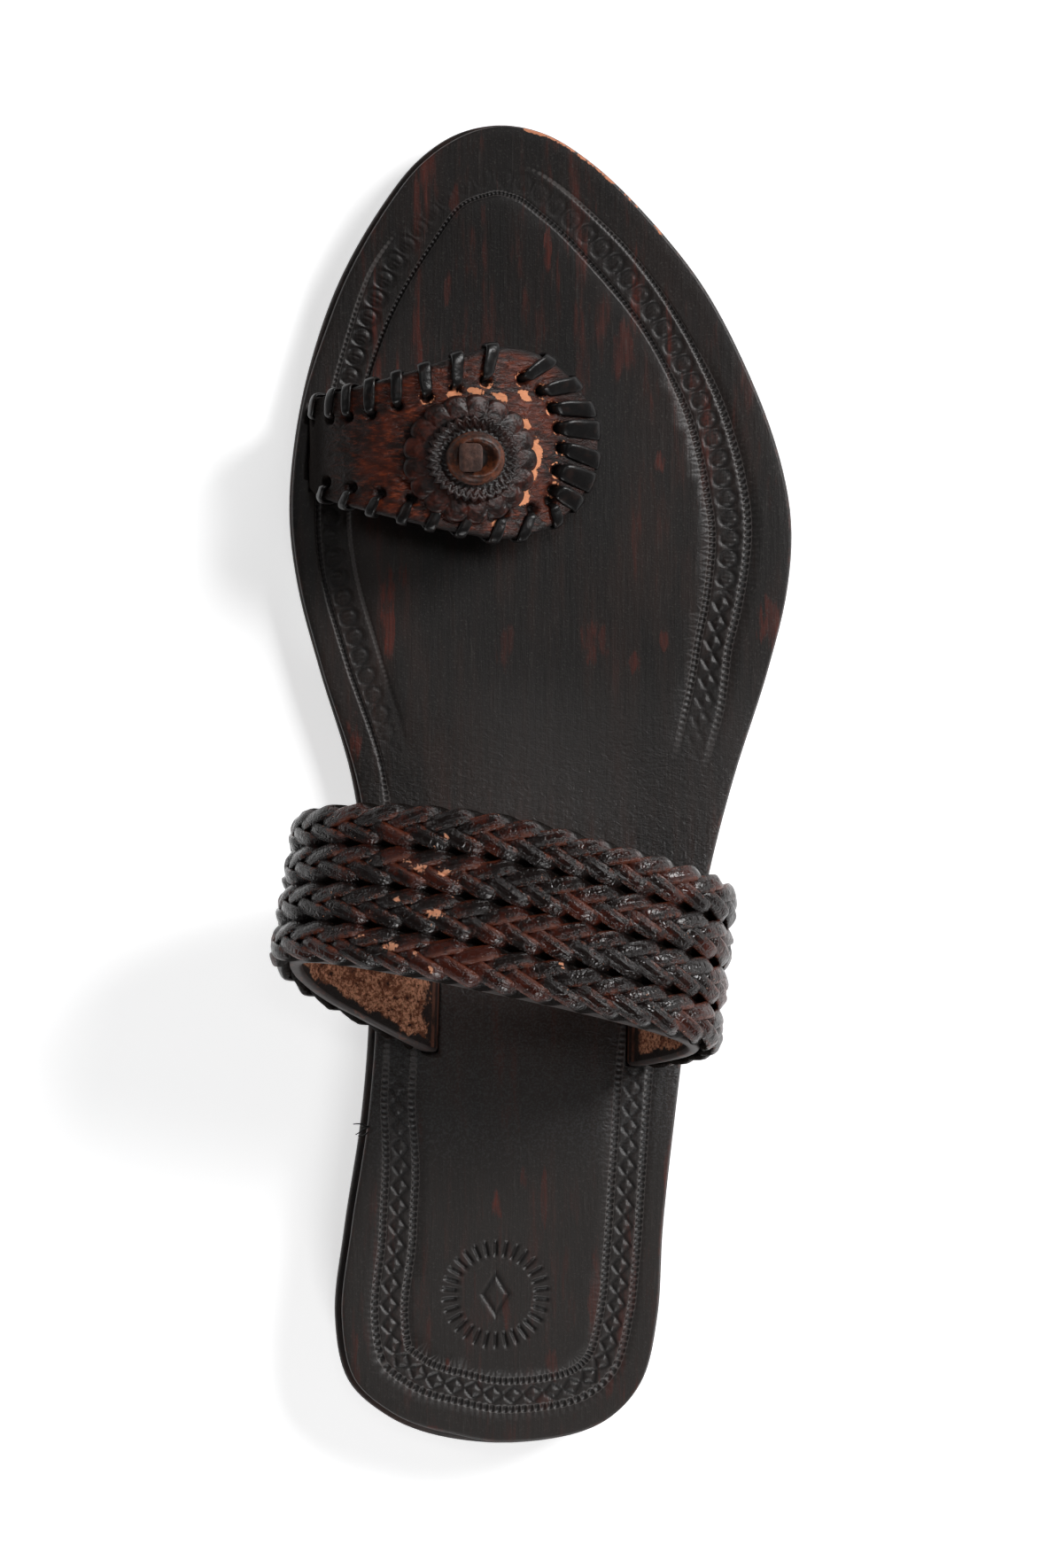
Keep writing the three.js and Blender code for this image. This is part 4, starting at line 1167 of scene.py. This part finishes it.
def laceHoles():
    # the punched holes' mouths on the strap's outer face
    table = np.array(laceTable)
    hole, edge = table[:, :2], table[:, 2:4]
    away = hole - edge
    away /= np.linalg.norm(away, axis=1)[:, None]
    gape = np.where(np.arange(len(table)) >= heelSideHoles, 0.9, 0.2)
    spots = hole + away * gape[:, None]
    return onStrap(spots[:, 0], spots[:, 1], np.zeros(len(table)))


def nearestEdge(x, at):
    # the edge's point, its direction, the outward direction and the face's normal, nearest in plan
    path, run = strapEdge()
    gap = np.hypot(path[:, 0] - x, path[:, 1] + seatY - at)
    i = int(np.clip(np.argmin(gap), 2, len(path) - 3))
    forward = unit(path[i + 2] - path[i - 2])
    normal = outward(strapSurface, np.array([0.5]), np.array([run[i]]))[0]
    normal = unit(normal - forward * np.dot(normal, forward))
    outside = np.cross(forward, normal)
    return path[i], forward, outside, normal


laceLook = {"halfThick": 0.43, "sides": 14, "steps": 48, "bulge": 0.16, "clear": 0.1, "twist": 0.3,
            "square": (0.85, 0.7), "dents": 0.06, "dentSize": 2.2}


def makeLacing():
    look = laceLook
    thick, half, lie, bulge = strapLook["thick"], strapLook["thick"] / 2, look["halfThick"], look["bulge"]
    c, h = section(look["sides"], *look["square"])
    t = np.linspace(0, 1, look["steps"])
    taper = 0.62 + 0.38 * smoothStep(0.08, 0.3, t) - 0.2 * smoothStep(0.85, 1, t)
    stitches = []
    table = np.array(laceTable)
    for i, (holeX, holeAt, edgeX0, edgeAt0, wide) in enumerate(table):
        edge, forward, outside, normal = nearestEdge(edgeX0, edgeAt0)
        nextX, nextAt = table[min(i + 1, len(table) - 1), :2]
        above = [(0.0, -1.9), (0.03, -0.4), (0.14, lie + 0.12), (0.38, lie + bulge), (0.7, lie + bulge * 0.8),
                 (0.93, lie - 0.05)]  # share of the way from the hole to the edge, and height over the face
        below = [(0.9, -lie), (0.5, -lie - 0.1), (0.08, -lie), (0.0, 0.7)]  # and from the edge to the next hole
        plan = lambda f, up, x, at: onStrap(np.array([x + (edge[0] - x) * f]),
                                            np.array([at + (edge[1] + seatY - at) * f]), np.array([up]))[0]
        knots = [plan(f, up, holeX, holeAt) for f, up in above]
        knots += [edge + outside * (lie + look["clear"]) + normal * lift for lift in (half - 0.25, 0.2 - half)]
        knots += [plan(f, up - thick, nextX, nextAt) for f, up in below]
        line = np.stack([alongRows([knot[k] for knot in knots], t) for k in range(3)], axis=1)
        ahead = unit(np.gradient(line, axis=0))
        across = unit(forward - ahead * np.sum(forward * ahead, axis=1, keepdims=True))
        up = np.cross(ahead, across)
        twist = look["twist"] * np.sin(math.pi * np.clip(t / 0.55, 0, 1))
        twist = twist * (1 if torePast[0] <= i <= torePast[1] else 0.5)
        across = across * np.cos(twist)[:, None] + up * np.sin(twist)[:, None]
        up = np.cross(ahead, across)
        ring = sweep(line, across, up, np.outer(wide * taper, c), np.outer(np.full(len(t), lie), h))
        dents = look["dents"] * wobble(ring, look["dentSize"], i * 1.3)
        stitches.append(ring + up[:, None, :] * dents[:, :, None])
    return makePiece("strapLacing", *joinLofts(stitches), [laceLeather])


print("toe strap")
strapPiece = makeStrap()
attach(strapPiece, "root")
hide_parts("toe_strap")
print("lacing")
lacingPiece = makeLacing()
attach(lacingPiece, "root")


discLook = {"scallops": 17, "scallopDeep": 1.0, "teeth": 32, "toothHalf": 0.45, "dots": 32,
            "core": 0.06, "edgeDrop": 0.25, "edgeBulge": 1.015}  # core and bulge are shares of the radius


def makeDisc(name, radiusAt, sectors, hoops, low, high, relief, material):
    # a leather disc that follows the strap, its top shaped by relief(radius share, angle)
    angle = np.linspace(0, 2 * np.pi, sectors, endpoint=False)
    shares = [discLook["core"]] + [(k + 1) / hoops for k in range(hoops)]
    tops = [high + relief(share, angle) - (discLook["edgeDrop"] if share == 1 else 0) for share in shares]
    hollow = [np.broadcast_to(np.maximum(0, -relief(share, angle)), sectors) for share in shares]
    shares += [discLook["edgeBulge"], 1.0, discLook["core"]]  # and on round the side and under
    tops += [(low + high) / 2, low, low]
    rows = []
    for share, height in zip(shares, tops):
        r = radiusAt(angle) * share
        rows.append(onStrap(rosette["x"] + r * np.cos(angle), rosette["at"] + r * np.sin(angle),
                            height + 0 * angle))
    points = np.concatenate(rows)
    faces = ringFaces(len(rows), sectors)
    faces.append(tuple(range(sectors))[::-1])
    faces.append(tuple((len(rows) - 1) * sectors + i for i in range(sectors)))
    return makePiece(name, points, faceOut(points, faces), [material],
                     fields={"sunk": padded(np.concatenate(hollow), len(points), 0.0)})


def scallopedRim(angle):
    petal = np.abs(np.cos(angle * discLook["scallops"] / 2))
    return rosette["large"] - discLook["scallopDeep"] + discLook["scallopDeep"] * petal ** 0.6


def pinkedRim(angle):
    tooth = np.abs(np.mod(angle * discLook["teeth"] / (2 * np.pi), 1) - 0.5)
    return rosette["small"] - discLook["toothHalf"] + discLook["toothHalf"] * (4 * tooth - 1)


def largeRelief(share, angle):
    petal = np.abs(np.cos(angle * discLook["scallops"] / 2))
    line = 0.84 + 0.09 * petal
    groove = -0.3 * np.exp(-(((share - line) / 0.026) ** 2))
    fold = -0.4 * (1 - petal) ** 2 * smoothStep(0.8, 0.95, share)
    return groove + fold + 0.3 * (1 - smoothStep(0.9, 1.0, share))


def smallRelief(share, angle):
    dots = 0.5 + 0.5 * np.cos(angle * discLook["dots"])
    ring = np.exp(-(((share - 0.84) / 0.05) ** 2))
    hollow = -0.3 * np.exp(-(((share - 0.7) / 0.05) ** 2))
    lip = 0.45 * smoothStep(0.86, 0.98, share)
    return 0.45 * ring * dots ** 2 + hollow + lip


def buttonRelief(share, angle):
    dome = rosette["dome"] - 0.8
    return dome * np.sqrt(np.maximum(1 - share ** 4, 0)) - 2.4 * np.exp(-((share / 0.56) ** 6))


threadLook = {  # a loose end of thread at the insole's edge: ends in plan and height over the insole
    "root": (-26.9, 64.6, -0.5),
    "ends": [(-30.6, 65.7, 0.4), (-30.1, 64.0, 0.6), (-29.3, 66.3, 0.7), (-29.6, 63.4, 0.2)],
    "thick": 0.2,
    "steps": 12,
    "sides": 6,
}


def makeThreads():
    look = threadLook
    x0, at0, up0 = look["root"]
    c, h = section(look["sides"], 1, 1)
    threads = []
    f = np.linspace(0, 1, look["steps"])
    for i, (x1, at1, up1) in enumerate(look["ends"]):
        x, at = x0 + (x1 - x0) * f, at0 + (at1 - at0) * f + 0.5 * np.sin(math.pi * f + i)
        line = toWorld(x, at, insoleTop(np.full(len(f), at0)) + up0 + (up1 - up0) * f + 0.9 * f * (1 - f))
        ahead = unit(np.gradient(line, axis=0))
        across = unit(np.cross(ahead, np.array([0.0, 0.0, 1.0])))
        up = np.cross(ahead, across)
        wide = look["thick"] * (1 - 0.5 * f)
        threads.append(sweep(line, across, up, np.outer(wide, c), np.outer(wide, h)))
    return makePiece("looseThread", *joinLofts(threads), [laceLeather])


thongLook = {
    "halfLong": 3.2,  # along the shoe
    "halfThick": 1.4,
    "knob": [  # height from the button's top, half length along the shoe, half thickness
        (-2.6, 3.2, 1.4), (-1.6, 3.0, 1.5), (-0.9, 2.8, 1.8), (-0.2, 2.85, 2.15), (0.6, 2.9, 2.3),
        (1.2, 2.8, 2.2), (1.6, 2.5, 1.9), (1.75, 1.9, 1.3),
    ],
    "square": 0.42,
    "sides": 32,
    "steps": 64,
    "lean": 0.35,
}


def makeThong():
    look = thongLook
    gap, disc = rosette["gap"], rosette["disc"]
    strapTop = float(onStrap(np.array([rosette["x"]]), np.array([rosette["at"]]), np.array([0.0]))[0, 2])
    crown = strapTop + 3 * gap + 2 * disc + rosette["dome"]
    foot = float(insoleTop(rosette["at"])) - sole["insole"] + gap
    rows = [(foot, look["halfLong"], look["halfThick"])]
    rows += [(crown + up, halfLong, halfThick) for up, halfLong, halfThick in look["knob"]]
    c, h = section(look["sides"], look["square"], look["square"])
    rings = []
    for height, halfLong, halfThick in rows:
        x = rosette["x"] + halfThick * c + look["lean"] * max(0.0, height - crown)
        rings.append(toWorld(x, rosette["at"] + halfLong * h, height + 0 * c))
    rings = np.stack(rings)
    t = np.linspace(0, 1, look["steps"])
    dense = np.stack([[alongRows(rings[:, k, axis], t) for axis in range(3)] for k in range(look["sides"])])
    points, faces = loft(dense.transpose(2, 0, 1))
    return makePiece("toeThongFolded", points, faceOut(points, faces), [rosetteLeathers["thong"]])


print("rosette")
gap, disc = rosette["gap"], rosette["disc"]
rosettePieces = [  # name, node, slot, rim, sectors, hoops, underside, top, relief and leather
    ("rosetteScalloped", "rosette_large", "strap_leather", scallopedRim, discLook["scallops"] * 24, 26,
     gap, gap + disc - 0.3, largeRelief, "disc"),
    ("rosettePinked", "rosette_small", "strap_leather", pinkedRim, discLook["teeth"] * 14, 24,
     2 * gap + disc, 2 * gap + 2 * disc - 0.2, smallRelief, "pinked"),
    ("rosetteButton", "rosette_button", "button_leather", lambda a: rosette["button"] + 0 * a, 96, 20,
     3 * gap + 2 * disc, 3 * gap + 2 * disc + 0.5, buttonRelief, "button"),
]
for name, node, slot, radiusAt, sectors, hoops, low, high, relief, leather in rosettePieces:
    piece = makeDisc(name, radiusAt, sectors, hoops, low, high, relief, rosetteLeathers[leather])
    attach(piece, "root")
    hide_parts(node)
thongPiece = makeThong()
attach(thongPiece, "root")
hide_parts("toe_thong")
threadPiece = makeThreads()
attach(threadPiece, "root")


stageLook = {
    "floor": (0.93, 0.93, 0.935),
    "shade": (0.84, 0.85, 0.865),
    "half": 3.0,
    "horizon": 0.16,
    "zenith": 0.03,
    "glow": 0.6,
}


def makeFloor():
    half = stageLook["half"] / mm
    cells = 8
    spots = np.linspace(-half, half, cells + 1)
    points = np.array([(x, y, 0.0) for y in spots for x in spots])
    corners = [j * (cells + 1) + i for j in range(cells) for i in range(cells)]
    faces = [(k, k + 1, k + cells + 2, k + cells + 1) for k in corners]
    material, start, place = newMaterial("paper")
    tone = cloud(place, 6.0, 2, 0.5)
    base = (tone * 0.3).mix(stageLook["floor"], stageLook["shade"])
    finish(start, base, 0.85 + tone * 0.05, tone, 0.02, 0.0002,
           {"Emission Color": (1, 1, 1, 1), "Emission Strength": stageLook["glow"]})
    floor = makePiece("floor", points, faces, [material])


lightTable = [  # name, place, aim, size and watts
    ("keySoftbox", (1.05, 0.75, 1.0), (0, 0.1, 0.02), (0.55, 0.5), 19),
    ("waistSoftbox", (0.06, 0.41, 1.75), (0, 0.06, 0.02), (0.35, 0.25), 1.2),
    ("fillSoftbox", (-1.15, 0.6, 0.85), (0, 0.1, 0.02), (0.4, 0.5), 1.2),
    ("heelSoftbox", (0.2, -1.2, 0.95), (0, 0.1, 0.02), (0.5, 0.35), 8),
]


def makeLight(name, place, aim, size, power):
    data = bpy.data.lights.new(name, "AREA")
    data.shape, data.size, data.size_y = "RECTANGLE", *size
    data.energy = power
    light = bpy.data.objects.new(name, data)
    light.location = place
    light.rotation_euler = (Vector(aim) - Vector(place)).to_track_quat("-Z", "Y").to_euler()
    bpy.context.scene.collection.objects.link(light)


def makeStage():
    makeFloor()
    world = bpy.data.worlds.new("studio")
    world.use_nodes = True
    world.node_tree.nodes.clear()
    start = Wire(world.node_tree)
    aloft = start.node("SeparateXYZ", None, {"Vector": start.node("TexCoord", output=0)}, output=2)
    strength = stageLook["horizon"] - aloft.above(0.35, 0.75) * (stageLook["horizon"] - stageLook["zenith"])
    sky = start.node("Background", None, {"Color": (1, 1, 1, 1), "Strength": strength})
    start.node("OutputWorld", None, {"Surface": sky})
    bpy.context.scene.world = world
    for row in lightTable:
        makeLight(*row)


cameraLook = {
    "height": 1.25,
    "medial": -0.044,  # the lens stands this far to the big-toe side of the long axis
    "along": 0.117,
    "aimHeight": 0.012,
    "frameHeight": 0.321,
    "sensor": 24.0,
}


def makeCamera():
    low, high = (Vector(corner) for corner in cadBox)
    aim = (low + high) / 2
    aim.z = cameraLook["aimHeight"]
    place = Vector((cameraLook["medial"], cameraLook["along"], cameraLook["height"]))
    forward = (aim - place).normalized()
    right = forward.cross(Vector((0, 1, 0))).normalized()
    up = right.cross(forward)
    turn = Matrix((right, up, -forward)).transposed()
    data = bpy.data.cameras.new("camera")
    data.sensor_fit, data.sensor_height = "VERTICAL", cameraLook["sensor"]
    data.lens = cameraLook["sensor"] * (place - aim).length / cameraLook["frameHeight"]
    camera = bpy.data.objects.new("camera", data)
    camera.matrix_world = Matrix.Translation(place) @ turn.to_4x4()
    bpy.context.scene.collection.objects.link(camera)
    bpy.context.scene.camera = camera


print("stage")
makeStage()
makeCamera()
bpy.context.scene.view_settings.view_transform = "Standard"
